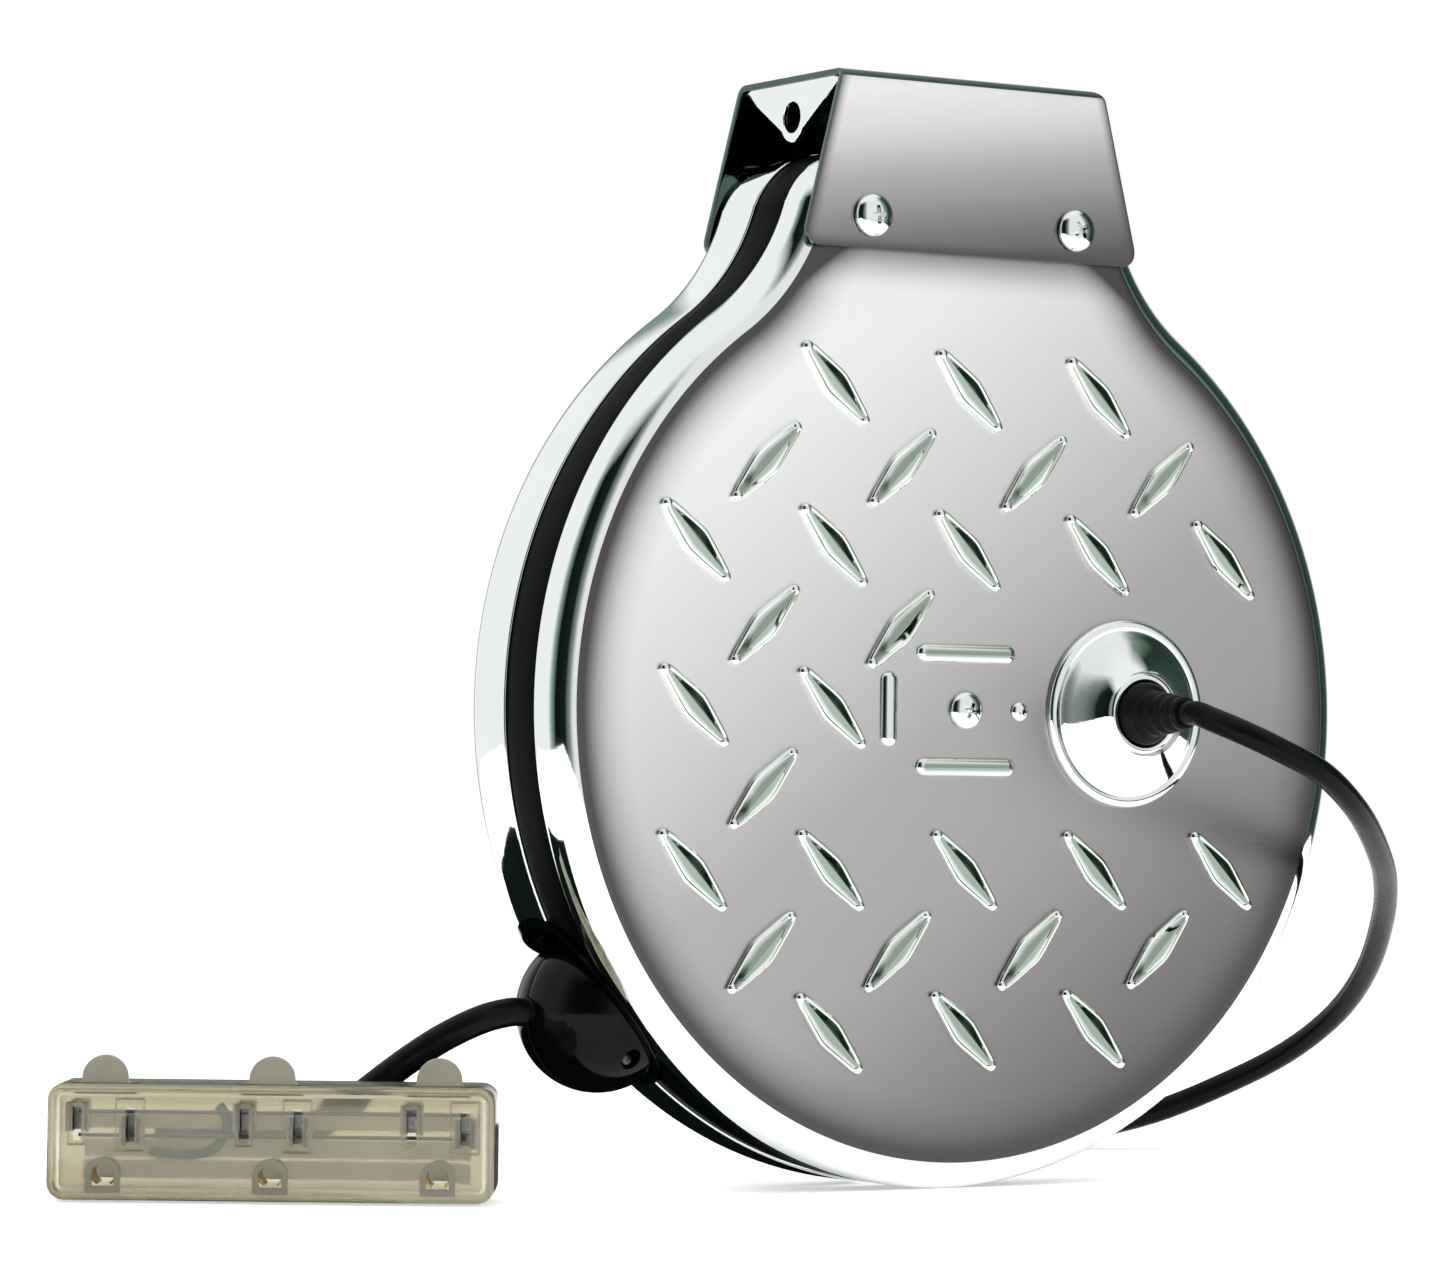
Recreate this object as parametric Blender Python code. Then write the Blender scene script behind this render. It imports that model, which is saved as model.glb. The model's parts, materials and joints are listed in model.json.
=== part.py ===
# Retractable cord reel: tread-plate shells, black band, bracket, sprung drum, ball stop, outlet block.
import math

import bmesh
import bpy
from mathutils import Matrix, Vector

MM = 0.001
GAP = 0.3 * MM

# Housing, measured from the drum axis at mid depth: X right, Y to the back, Z up
DEPTH = 44.4 * MM
SHEET = 1.2 * MM
FACE_R = 110.8 * MM
EDGE_R = 8.7 * MM
LIP_LAND = 0.5 * MM
BAND_WIDTH = 14.1 * MM
BAND_WALL = 3.0 * MM
NECK_LEAN = math.radians(16.35)
NECK_HALF = 38.8 * MM
NECK_RISE = 20.2 * MM
NECK_FILLET = 62.0 * MM
NECK_CORNER = 14.0 * MM
FACE_Y = DEPTH / 2
INNER_Y = FACE_Y - SHEET
FRONT_LIP_Y = EDGE_R + LIP_LAND - FACE_Y
REAR_LIP_Y = FRONT_LIP_Y + BAND_WIDTH
NECK_TOP = FACE_R + NECK_RISE
NECK_OFFSET = NECK_HALF * math.cos(NECK_LEAN) + NECK_TOP * math.sin(NECK_LEAN)

# Raised tread pattern: pitch of its lattice, its reach in pitches, and the lugs' shapes as shares
LUG_PITCH = 40.0 * MM
TREAD_REACH = 2.3
LUG_STEPS = 3
LUG_TAPER = 0.86
LUG_RIDGE = 0.62
BAR_TAPER = 0.35
BAR_TOP_LENGTH = 0.86
BAR_TOP_WIDTH = 0.56
LUG_LENGTH = 27.5 * MM
LUG_WIDTH = 8.0 * MM
LUG_RISE = 2.2 * MM
LUG_SINK = 0.5 * MM
LUG_TURN = math.radians(46)
BAR_LENGTH = 29.8 * MM
BAR_WIDTH = 4.9 * MM
BAR_RISE = 1.6 * MM
BAR_Z = 14.2 * MM
SIDE_BAR_LENGTH = 19.1 * MM
SIDE_BAR_X = -23.1 * MM

# Bracket
BRACKET_RISE = 27.2 * MM
BRACKET_LAP = 17.2 * MM
BRACKET_TOP = NECK_TOP + BRACKET_RISE
BRACKET_BOTTOM = NECK_TOP - BRACKET_LAP
BRACKET_TOP_HALF = 39.6 * MM
BRACKET_BOTTOM_HALF = 50.9 * MM
BRACKET_SHEET = 1.6 * MM
BRACKET_CORNER = 3.0 * MM
BRACKET_IN_Y = FACE_Y + GAP
BRACKET_OUT_Y = BRACKET_IN_Y + BRACKET_SHEET
TAB_DROP = 16.5 * MM
TAB_TIP_R = 5.0 * MM
TAB_HOLE_R = 3.9 * MM
TAB_HOLE_DROP = 10.2 * MM
TOP_HOLE_X = 22.0 * MM
TOP_HOLE_R = 3.6 * MM
SCREW_X = 30.8 * MM
SCREW_DROP = 9.0 * MM
SCREW_Z = NECK_TOP - SCREW_DROP
SCREW_HEAD_R = 5.5 * MM
SCREW_HEAD_RISE = 3.0 * MM
SCREW_R = 2.5 * MM
SCREW_LENGTH = 12.0 * MM
SPACER_R = 5.0 * MM
# Domed screw head, as shares of its radius and of its height
HEAD_DOME = ((0.93, 0.5), (0.6, 0.88), (0.2, 1.0))

# Axle and drum
AXLE_R = 6.0 * MM
BOLT_R = 3.0 * MM
BOLT_HEAD_R = 4.9 * MM
BOLT_HEAD_RISE = 3.2 * MM
BOLT_DEPTH = 12.0 * MM
BUSH_WALL = 2.0 * MM
BUSH_LENGTH = 4.0 * MM
CORE_R = 50.0 * MM
CORE_WALL = 2.5 * MM
DRUM_ROOM = 9.3 * MM
CORE_HALF = INNER_Y - DRUM_ROOM
CORE_WEB = 2.5 * MM
HUB_R = 12.0 * MM
FLANGE_T = 1.5 * MM
FLANGE_CLEAR = 2.05 * MM
WINDING_ROOM = 21.0 * MM
WINDING_LANES = 3
SPRING_TURNS = 7
SPRING_STRIP = 0.9 * MM
RATCHET_R = 30.0 * MM
RATCHET_BORE = 20.0 * MM
RATCHET_T = 3.0 * MM
RATCHET_TOOTH = 3.0 * MM
RATCHET_TEETH = 16
RATCHET_SLOPE = 0.92
PAWL_PIVOT = Vector((0, 0, 46.0 * MM))
PAWL_T = 3.0 * MM
PAWL_BOSS_R = 5.0 * MM
PAWL_PIN_R = 2.0 * MM
PAWL_REACH = 18.0 * MM
# Nose of the pawl, as shares of its reach and of its drop to the ratchet
PAWL_NOSE = ((-0.1, 0.75), (0.15, 1.0), (0.4, 0.8))

# Sliding contacts
RING_RADII = (20.0 * MM, 29.0 * MM, 38.0 * MM)
RING_NAMES = ("ground", "neutral", "line")
RING_WIDTH = 4.0 * MM
RING_T = 0.7 * MM
DISC_R = 44.0 * MM
DISC_T = 1.5 * MM
BRUSH_R = 1.6 * MM
HOLDER_END = 21.0 * MM
HOLDER_HALF = 8.0 * MM
HOLDER_T = 2.5 * MM
CONTACT_X = 16.4 * MM
CONTACT_R = 1.6 * MM
CONTACT_HEAD_R = 2.5 * MM

# Inlet lead
INLET_X = 49.0 * MM
ROSETTE_R = 24.0 * MM
COLLAR_R = 10.2 * MM
ROSETTE_RISE = 8.0 * MM
ROSETTE_RIM = 2.5 * MM
BUSH_R = 8.0 * MM
BUSH_NOSE_R = 4.2 * MM
BUSH_NOSE = 18.0 * MM
BUSH_TAPER = 2.7 * MM
BUSH_SHOULDER_R = 7.2 * MM
NUT_R = 12.0 * MM
NUT_T = 4.0 * MM
INLET_D = 6.2 * MM
COIL_R = 34.0 * MM
COIL_TURNS = 1.5
COIL_LIFT = 1.2 * MM
TIE_WALL = 0.8 * MM
TIE_WIDTH = 8.0 * MM
TIE_SLACK = 0.8 * MM
TAIL_STEPS = 8
TAIL_FLAT = 0.05
PLUG_AWAY = 70.4 * MM
PLUG_LENGTH = 26.0 * MM
PLUG_WIDTH = 26.0 * MM
PLUG_HEIGHT = 22.0 * MM
PLUG_BOOT = 24.0 * MM
PLUG_BOOT_R = 5.9 * MM
PLUG_CORNER = 6.0 * MM
PLUG_SHOULDER = 10.4 * MM
PLUG_NECK = 0.7
BLADE_LENGTH = 16.0 * MM
BLADE_WIDTH = 6.3 * MM
BLADE_T = 1.6 * MM
BLADE_LOW = 1.5 * MM
PIN_R = 2.4 * MM
PIN_LENGTH = 19.0 * MM
BLADE_SPACING = 12.7 * MM
GROUND_DROP = 11.9 * MM

# Outlet lead: the ball stop rests in its cup, and the cord pulls out along -X
BALL_R = 20.0 * MM
BALL_FACET = 5.25 * MM
BALL_QUARTER = math.ceil(math.pi / 2 * BALL_R / BALL_FACET)
BALL_ROUND = 4 * BALL_QUARTER
BALL_OUT = 5.65 * MM
BALL_INSET = 5.2 * MM
BALL_Y = CORE_HALF - BALL_INSET
CUP_WALL = 2.4 * MM
CUP_EDGE = 2.0 * MM
LEAD_D = 7.0 * MM
BALL_REACH = FACE_R + BALL_OUT
FLANGE_R = BALL_REACH - BALL_R - CUP_WALL - FLANGE_CLEAR
WINDING_R = FLANGE_R - WINDING_ROOM
BALL_Z = -(WINDING_R + LEAD_D / 2 + 2 * GAP)
BALL_X = -math.sqrt(BALL_REACH ** 2 - BALL_Z ** 2)
TAIL_END_X = 8.0 * MM
BALL_SCREW_R = 1.6 * MM
BALL_SCREW_Z = 11.0 * MM

# Outlet block, in its own frame: X along it, Y away from its face, Z up from the floor
BLOCK_TURN = math.radians(-32.127)
BLOCK_LENGTH = 106.0 * MM
BLOCK_HEIGHT = 28.0 * MM
BLOCK_T = 26.0 * MM
BLOCK_SPLIT = 5.0 * MM
BLOCK_WALL = 2.2 * MM
BLOCK_CORNER = 4.0 * MM
BLOCK_FOOT = 0.44 * MM
OUTLET_PITCH = 39.6 * MM
SLOT_Z = 18.4 * MM
SLOT_HEIGHT = 8.0 * MM
SLOT_WIDTH = 2.2 * MM
GROUND_R = 2.7 * MM
TAB_WIDTH = 10.8 * MM
TAB_HEIGHT = 6.7 * MM
TAB_T = 3.0 * MM
TAB_SETBACK = 2.5 * MM
BAR_STRIP = 5.0 * MM
BAR_T = 1.0 * MM
BOOT_X = -8.0 * MM
BOOT_LENGTH = 22.0 * MM
BOOT_R = 5.0 * MM
BOOT_Z = 13.0 * MM

# Facets round a large and a small turned piece, and the share of a radius that closes a turned point
ROUND = 24
SMALL = 16
POINT = 0.001

# Route of the inlet lead from its bush to the coil behind the reel, in millimetres
INLET_ROUTE = (
    (49, -49, 0), (49, -53, 0), (50, -58, -1.5), (54.5, -66, -5), (62.5, -71.5, -9.5), (74, -73, -15),
    (91, -65, -24), (112, -47, -34), (130, -28, -42.5), (147, -6, -53), (162, 19, -67),
    (170, 42, -80), (169, 63, -92), (160, 81, -102), (144, 92, -110), (122, 97, -114.5),
    (104, 98, -115.2), (97, 98, -115.2))
# Route of the free lead from the ball stop to the block's strain relief, in millimetres
LEAD_ROUTE = (
    (-109.7, 6.5, -75.1), (-114, 6.5, -75.1), (-121, 7.6, -76.8), (-129, 11.2, -81),
    (-136, 15.4, -86.3), (-143, 19.7, -92.5), (-150, 23.9, -99), (-157, 28.2, -104),
    (-164, 32.6, -106.4), (-169.1, 35.8, -106.5))


def clear_scene():
    for old in list(bpy.data.objects):
        bpy.data.objects.remove(old)


def material(name, colour, roughness, metallic):
    made = bpy.data.materials.new(name)
    made.use_nodes = True
    shader = made.node_tree.nodes["Principled BSDF"]
    shader.inputs["Base Color"].default_value = (*colour, 1)
    shader.inputs["Roughness"].default_value = roughness
    shader.inputs["Metallic"].default_value = metallic
    made.diffuse_color = (*colour, 1)
    return made


def empty(name, place, turn=0.0, parent=None):
    frame = bpy.data.objects.new(name, None)
    frame.location = place
    frame.rotation_euler = (0, 0, turn)
    frame.parent = parent
    bpy.context.scene.collection.objects.link(frame)
    return frame


def piece(name, bm, finish, parent, place=(0, 0, 0)):
    bmesh.ops.recalc_face_normals(bm, faces=bm.faces)
    mesh = bpy.data.meshes.new(name)
    bm.to_mesh(mesh)
    bm.free()
    mesh.shade_smooth()
    mesh.set_sharp_from_angle(angle=math.radians(35))
    obj = bpy.data.objects.new(name, mesh)
    if finish:
        mesh.materials.append(finish)
    obj.parent = parent
    obj.location = place
    bpy.context.scene.collection.objects.link(obj)
    return obj


def tool(name, bm, parent):
    obj = piece(name, bm, None, parent)
    obj.hide_render = True
    obj.display_type = "WIRE"
    return obj


def boolean(obj, cutter, operation):
    step = obj.modifiers.new(cutter.name, "BOOLEAN")
    step.object = cutter
    step.operation = operation
    step.solver = "EXACT"


def skin(bm, loops, closed):
    rows = [[bm.verts.new(point) for point in loop] for loop in loops]
    pairs = list(zip(rows, rows[1:]))
    if closed:
        pairs.append((rows[-1], rows[0]))
    else:
        bm.faces.new(rows[0])
        bm.faces.new(rows[-1])
    for low, high in pairs:
        for i in range(len(low)):
            j = (i + 1) % len(low)
            bm.faces.new((low[i], low[j], high[j], high[i]))
    return bm


def turned(profile, centre=(0, 0, 0), steps=ROUND, closed=False, along="Y", bm=None):
    # profile holds (radius, distance along the axis); an open profile is capped at both ends
    bm = bm or bmesh.new()
    loops = []
    for radius, far in profile:
        loop = []
        for i in range(steps):
            angle = 2 * math.pi * i / steps
            across = (radius * math.cos(angle), radius * math.sin(angle))
            spot = (across[0], far, across[1]) if along == "Y" else (far, across[0], across[1])
            loop.append(Vector(spot) + Vector(centre))
        loops.append(loop)
    return skin(bm, loops, closed)


def tube(inner, outer, low, high, centre=(0, 0, 0), steps=ROUND):
    return turned([(inner, low), (outer, low), (outer, high), (inner, high)], centre, steps, True)


def prism(outline, low, high, bm=None):
    bm = bm or bmesh.new()
    return skin(bm, [[(x, y, z) for x, z in outline] for y in (low, high)], False)


def box(low, high, bm=None):
    outline = ((low[0], low[2]), (high[0], low[2]), (high[0], high[2]), (low[0], high[2]))
    return prism(outline, low[1], high[1], bm)


def arc(centre, radius, start, end, steps):
    spots = []
    for i in range(steps + 1):
        angle = start + (end - start) * i / steps
        spots.append((centre[0] + radius * math.cos(angle), centre[1] + radius * math.sin(angle)))
    return spots


def rounded(half_x, low_z, high_z, radius, steps=4):
    corners = ((half_x - radius, low_z + radius, -90), (half_x - radius, high_z - radius, 0),
               (radius - half_x, high_z - radius, 90), (radius - half_x, low_z + radius, 180))
    outline = []
    for x, z, start in corners:
        outline += arc((x, z), radius, math.radians(start), math.radians(start + 90), steps)
    return outline


def smooth_path(route, steps=3):
    # Catmull-Rom curve through the route's own points
    spots = [Vector(p) * MM for p in route]
    ends = [spots[0] * 2 - spots[1]] + spots + [spots[-1] * 2 - spots[-2]]
    path = []
    for a, b, c, d in zip(ends, ends[1:], ends[2:], ends[3:]):
        for i in range(steps):
            t = i / steps
            bend = (a * 2 - b * 5 + c * 4 - d) * t * t + (b * 3 - a - c * 3 + d) * t ** 3
            path.append((b * 2 + (c - a) * t + bend) / 2)
    return path + [spots[-1]]


def cord(name, path, diameter, finish, parent):
    curve = bpy.data.curves.new(name, "CURVE")
    curve.dimensions = "3D"
    curve.bevel_depth = diameter / 2
    curve.bevel_resolution = 2
    curve.use_fill_caps = True
    spline = curve.splines.new("POLY")
    spline.points.add(len(path) - 1)
    for point, spot in zip(spline.points, path):
        point.co = (*spot, 1)
    curve.materials.append(finish)
    obj = bpy.data.objects.new(name, curve)
    obj.parent = parent
    bpy.context.scene.collection.objects.link(obj)
    return obj


def housing_outline(out):
    # Keyhole outline of the housing, moved outwards by a distance: disc, neck fillets, rounded neck
    disc = FACE_R + out
    fillet = NECK_FILLET - out
    lean = NECK_LEAN
    reach = FACE_R + NECK_FILLET
    turn = lean + math.acos((NECK_OFFSET + NECK_FILLET) / reach)
    hollow = (reach * math.cos(turn), reach * math.sin(turn))
    top_z = NECK_TOP - NECK_CORNER
    top_x = (NECK_OFFSET - NECK_CORNER - top_z * math.sin(lean)) / math.cos(lean)
    half = arc((0, 0), disc, -math.pi / 2, turn, 20)
    half += arc(hollow, fillet, turn + math.pi, lean + math.pi, 4)[1:]
    half += arc((top_x, top_z), NECK_CORNER + out, lean, math.pi / 2, 4)
    return half + [(-x, z) for x, z in reversed(half[1:])]


def shell_loops(lip, side):
    # Outer skin from the face to the lip, then the inner skin back, with the sheet between them
    stations = []
    for degrees in (0, 30, 60, 90):
        angle = math.radians(degrees)
        stations.append((EDGE_R * math.sin(angle), FACE_Y - EDGE_R * (1 - math.cos(angle))))
    stations.append((EDGE_R, lip * side))
    stations.append((EDGE_R - SHEET, lip * side))
    for degrees in (90, 60, 30, 0):
        angle = math.radians(degrees)
        inner = EDGE_R - SHEET
        stations.append((inner * math.sin(angle), FACE_Y - EDGE_R + inner * math.cos(angle)))
    return [[(x, y * side, z) for x, z in housing_outline(out)] for out, y in stations]


def raised(bm, centre, length, width, rise, turn, flat, side):
    # A pressed-out lug: a long outline at the sheet and a ridge or flat top above it
    half = length / 2
    taper = BAR_TAPER if flat else LUG_TAPER
    top = half * (BAR_TOP_LENGTH if flat else LUG_RIDGE)
    ridge = width / 2 * (BAR_TOP_WIDTH if flat else 0)
    rim = []
    for i in range(-LUG_STEPS, LUG_STEPS + 1):
        share = i / LUG_STEPS
        across = width / 2 * (1 - share ** 2 * taper)
        rim += [(half * share, across, -LUG_SINK), (half * share, -across, -LUG_SINK)]
    for along in (-top, top):
        for across in sorted({-ridge, ridge}):
            rim.append((along, across, rise))
    made = []
    for along, across, up in rim:
        x = centre[0] + along * math.cos(turn) - across * math.sin(turn)
        z = centre[1] + along * math.sin(turn) + across * math.cos(turn)
        made.append(bm.verts.new((x, side * (FACE_Y + up), z)))
    bmesh.ops.convex_hull(bm, input=made)


def tread_centres():
    # Lugs lean one way on whole rows and the other way on half rows, clear of the middle fittings
    for twice in range(-4, 5):
        row = twice / 2
        turn = LUG_TURN if row % 1 else -LUG_TURN
        for step in range(-2, 3):
            column = step + row % 1
            by_fittings = abs(row) < 1 and column > row - 1
            if math.hypot(row, column) < TREAD_REACH and not by_fittings:
                yield (column * LUG_PITCH, row * LUG_PITCH), turn


def mouth(bm, extra):
    # Way of the ball stop out through the rim along -X
    radius = BALL_R + extra
    profile = [(radius * POINT, -3 * BALL_R), (radius, -3 * BALL_R)]
    for i in range(0, 7):
        angle = math.radians(90 * i / 7)
        profile.append((radius * math.cos(angle), radius * math.sin(angle)))
    profile.append((radius * POINT, radius))
    return turned(profile, (BALL_X, BALL_Y, BALL_Z), along="X", bm=bm)


def build_shell(name, lip, side, finish, parent):
    bm = skin(bmesh.new(), shell_loops(lip, side), False)
    shell = piece(name, bm, finish, parent)
    pattern = bmesh.new()
    for centre, turn in tread_centres():
        raised(pattern, centre, LUG_LENGTH, LUG_WIDTH, LUG_RISE, turn, False, side)
    if side < 0:
        for z in (BAR_Z, -BAR_Z):
            raised(pattern, (0, z), BAR_LENGTH, BAR_WIDTH, BAR_RISE, 0, True, side)
        raised(pattern, (SIDE_BAR_X, 0), SIDE_BAR_LENGTH, BAR_WIDTH, BAR_RISE, math.pi / 2, True, side)
    boolean(shell, tool(name + "_pattern", pattern, parent), "UNION")
    holes = bmesh.new()
    spots = [(0, 0, BOLT_R), (SCREW_X, SCREW_Z, SCREW_R), (-SCREW_X, SCREW_Z, SCREW_R)]
    if side < 0:
        spots += [(CONTACT_X, 0, CONTACT_R), (INLET_X, 0, BUSH_R)]
    for x, z, radius in spots:
        span = ((radius + GAP, side * INNER_Y - 3 * SHEET), (radius + GAP, side * INNER_Y + 3 * SHEET))
        turned(span, (x, 0, z), SMALL, bm=holes)
    boolean(shell, tool(name + "_holes", holes, parent), "DIFFERENCE")
    boolean(shell, tool(name + "_mouth", mouth(bmesh.new(), CUP_WALL + 2 * GAP), parent), "DIFFERENCE")


def build_housing(finishes, parent):
    build_shell("front_shell", FRONT_LIP_Y, -1, finishes["chrome"], parent)
    build_shell("rear_shell", REAR_LIP_Y, 1, finishes["chrome"], parent)
    loops = []
    low, high = FRONT_LIP_Y + GAP, REAR_LIP_Y - GAP
    outer, inner = EDGE_R - GAP, EDGE_R - BAND_WALL
    for out, y in ((outer, low), (outer, high), (inner, high), (inner, low)):
        loops.append([(x, y, z) for x, z in housing_outline(out)])
    band = piece("rim_band", skin(bmesh.new(), loops, True), finishes["black"], parent)
    boolean(band, tool("band_mouth", mouth(bmesh.new(), CUP_WALL + 2 * GAP), parent), "DIFFERENCE")
    for name, x in (("left", -SCREW_X), ("right", SCREW_X)):
        bm = tube(SCREW_R + GAP, SPACER_R, GAP - INNER_Y, INNER_Y - GAP, (x, 0, SCREW_Z), SMALL)
        piece("neck_spacer_" + name, bm, finishes["zinc"], parent)


def bracket_plate(side, bm):
    corner = BRACKET_CORNER
    outline = [(BRACKET_BOTTOM_HALF - corner, BRACKET_BOTTOM), (BRACKET_BOTTOM_HALF, BRACKET_BOTTOM + corner),
               (BRACKET_TOP_HALF, BRACKET_TOP - corner), (BRACKET_TOP_HALF - corner, BRACKET_TOP - SHEET / 2)]
    outline += [(-x, z) for x, z in reversed(outline)]
    return prism(outline, side * BRACKET_IN_Y, side * BRACKET_OUT_Y, bm)


def build_bracket(finishes, parent):
    half = BRACKET_TOP_HALF
    top_low = BRACKET_TOP - BRACKET_SHEET
    bm = box((-half, -BRACKET_OUT_Y, top_low), (half, BRACKET_OUT_Y, BRACKET_TOP))
    bracket = piece("mounting_bracket", bm, finishes["satin"], parent)
    for side, name in ((-1, "front"), (1, "rear")):
        boolean(bracket, tool("bracket_plate_" + name, bracket_plate(side, bmesh.new()), parent), "UNION")
    tip_z = BRACKET_TOP - TAB_DROP + TAB_TIP_R
    for side in (-1, 1):
        tab = bmesh.new()
        base = BRACKET_IN_Y - 2 * GAP
        outline = [(base, top_low + SHEET / 2), (-base, top_low + SHEET / 2)]
        outline += arc((0, tip_z), TAB_TIP_R, math.radians(205), math.radians(335), 6)
        xs = (side * (half - BRACKET_SHEET), side * (half - GAP))
        skin(tab, [[(x, y, z) for y, z in outline] for x in xs], False)
        boolean(bracket, tool("bracket_tab%d" % side, tab, parent), "UNION")
    holes = bmesh.new()
    turned(((TAB_HOLE_R, -2 * half), (TAB_HOLE_R, 2 * half)), (0, 0, BRACKET_TOP - TAB_HOLE_DROP), SMALL,
           along="X", bm=holes)
    for x in (-SCREW_X, SCREW_X):
        turned(((SCREW_R + GAP, -2 * FACE_Y), (SCREW_R + GAP, 2 * FACE_Y)), (x, 0, SCREW_Z), SMALL, bm=holes)
    boolean(bracket, tool("bracket_holes", holes, parent), "DIFFERENCE")
    slots = bmesh.new()
    for x in (-TOP_HOLE_X, TOP_HOLE_X):
        ring = arc((x, 0), TOP_HOLE_R, 0, 2 * math.pi, SMALL)[:-1]
        skin(slots, [[(a, b, z) for a, b in ring] for z in (top_low - SHEET, BRACKET_TOP + SHEET)], False)
    boolean(bracket, tool("bracket_top_holes", slots, parent), "DIFFERENCE")


def screw(name, x, z, seat, side, head_r, rise, shank_r, length, finish, parent):
    # Domed head outside its seat, shank pointing into the housing
    head = seat + GAP
    profile = [(shank_r, side * (seat - length)), (shank_r, side * head), (head_r, side * head)]
    profile += [(head_r * across, side * (head + rise * up)) for across, up in HEAD_DOME]
    piece(name, turned(profile, (x, 0, z), SMALL), finish, parent)


def build_fasteners(finishes, parent):
    for side, face in ((-1, "front"), (1, "rear")):
        for name, x in (("left", -SCREW_X), ("right", SCREW_X)):
            screw("bracket_screw_%s_%s" % (face, name), x, SCREW_Z, BRACKET_OUT_Y, side, SCREW_HEAD_R,
                  SCREW_HEAD_RISE, SCREW_R, SCREW_LENGTH, finishes["chrome"], parent)
        screw("axle_bolt_" + face, 0, 0, FACE_Y, side, BOLT_HEAD_R, BOLT_HEAD_RISE, BOLT_R, BOLT_DEPTH,
              finishes["chrome"], parent)
    screw("contact_screw", CONTACT_X, 0, FACE_Y, -1, CONTACT_HEAD_R, BOLT_HEAD_RISE / 2, CONTACT_R,
          SHEET + HOLDER_T, finishes["chrome"], parent)


def build_axle(finishes, parent):
    end = INNER_Y - GAP
    bore = BOLT_R + GAP
    floor = FACE_Y - BOLT_DEPTH - 2 * GAP
    profile = [(bore, -floor), (bore, -end), (AXLE_R, -end), (AXLE_R, end), (bore, end), (bore, floor)]
    piece("axle", turned(profile, steps=SMALL), finishes["zinc"], parent)
    low = CORE_WEB - CORE_HALF + BUSH_LENGTH
    arbor = tube(AXLE_R + GAP, HUB_R - 2 * GAP, low, CORE_HALF - GAP, steps=SMALL)
    piece("spring_arbor", arbor, finishes["zinc"], parent)


def build_drum(finishes, parent):
    bore = AXLE_R + GAP + BUSH_WALL
    web = CORE_WEB - CORE_HALF
    core = [(bore + GAP, -CORE_HALF), (CORE_R, -CORE_HALF), (CORE_R, CORE_HALF),
            (CORE_R - CORE_WALL, CORE_HALF), (CORE_R - CORE_WALL, web), (bore + GAP, web)]
    piece("drum_core", turned(core, closed=True), finishes["black"], parent)
    for name, side in (("front", -1), ("rear", 1)):
        low = side * (CORE_HALF + GAP)
        high = side * (CORE_HALF + GAP + FLANGE_T)
        piece("drum_flange_" + name, tube(bore + GAP, FLANGE_R, low, high), finishes["black"], parent)
    front = -CORE_HALF - GAP - FLANGE_T
    rear = CORE_HALF + GAP
    for name, low in (("front", front), ("rear", rear)):
        bm = tube(AXLE_R + GAP, bore, low, low + BUSH_LENGTH, steps=SMALL)
        piece("drum_bush_" + name, bm, finishes["brass"], parent)
    lane = 2 * (CORE_HALF - GAP) / WINDING_LANES
    profile = [(CORE_R + GAP, CORE_HALF - GAP), (CORE_R + GAP, GAP - CORE_HALF)]
    for i in range(WINDING_LANES):
        middle = GAP - CORE_HALF + lane * (i + 0.5)
        for degrees in (-75, 0, 75):
            angle = math.radians(degrees)
            dip = lane / 2 * (1 - math.cos(angle))
            profile.append((WINDING_R - dip, middle + lane / 2 * math.sin(angle)))
    piece("cord_winding", turned(profile, closed=True), finishes["rubber"], parent)
    build_spring(web, finishes, parent)
    build_ratchet(rear + FLANGE_T + GAP, finishes, parent)


def build_spring(web, finishes, parent):
    low, high = web + 2 * GAP, CORE_HALF - 2 * GAP
    inner, outer = HUB_R + GAP, CORE_R - CORE_WALL - GAP - SPRING_STRIP
    steps = SPRING_TURNS * 16
    bm = bmesh.new()
    loops = []
    for i in range(steps + 1):
        angle = 2 * math.pi * SPRING_TURNS * i / steps
        radius = inner + (outer - inner) * i / steps
        wide = radius + SPRING_STRIP
        loop = []
        for r, y in ((radius, low), (wide, low), (wide, high), (radius, high)):
            loop.append((r * math.cos(angle), y, r * math.sin(angle)))
        loops.append(loop)
    piece("mainspring", skin(bm, loops, False), finishes["steel"], parent)


def build_ratchet(low, finishes, parent):
    outline = []
    for i in range(RATCHET_TEETH):
        start = 2 * math.pi * i / RATCHET_TEETH
        step = 2 * math.pi / RATCHET_TEETH
        for share, drop in ((0, 0), (RATCHET_SLOPE, RATCHET_TOOTH)):
            radius = RATCHET_R - drop
            outline.append((radius * math.cos(start + step * share), radius * math.sin(start + step * share)))
    ratchet = piece("ratchet_ring", prism(outline, low, low + RATCHET_T), finishes["steel"], parent)
    bore = turned(((RATCHET_BORE, low - RATCHET_T), (RATCHET_BORE, low + 2 * RATCHET_T)))
    boolean(ratchet, tool("ratchet_bore", bore, parent), "DIFFERENCE")


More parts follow.
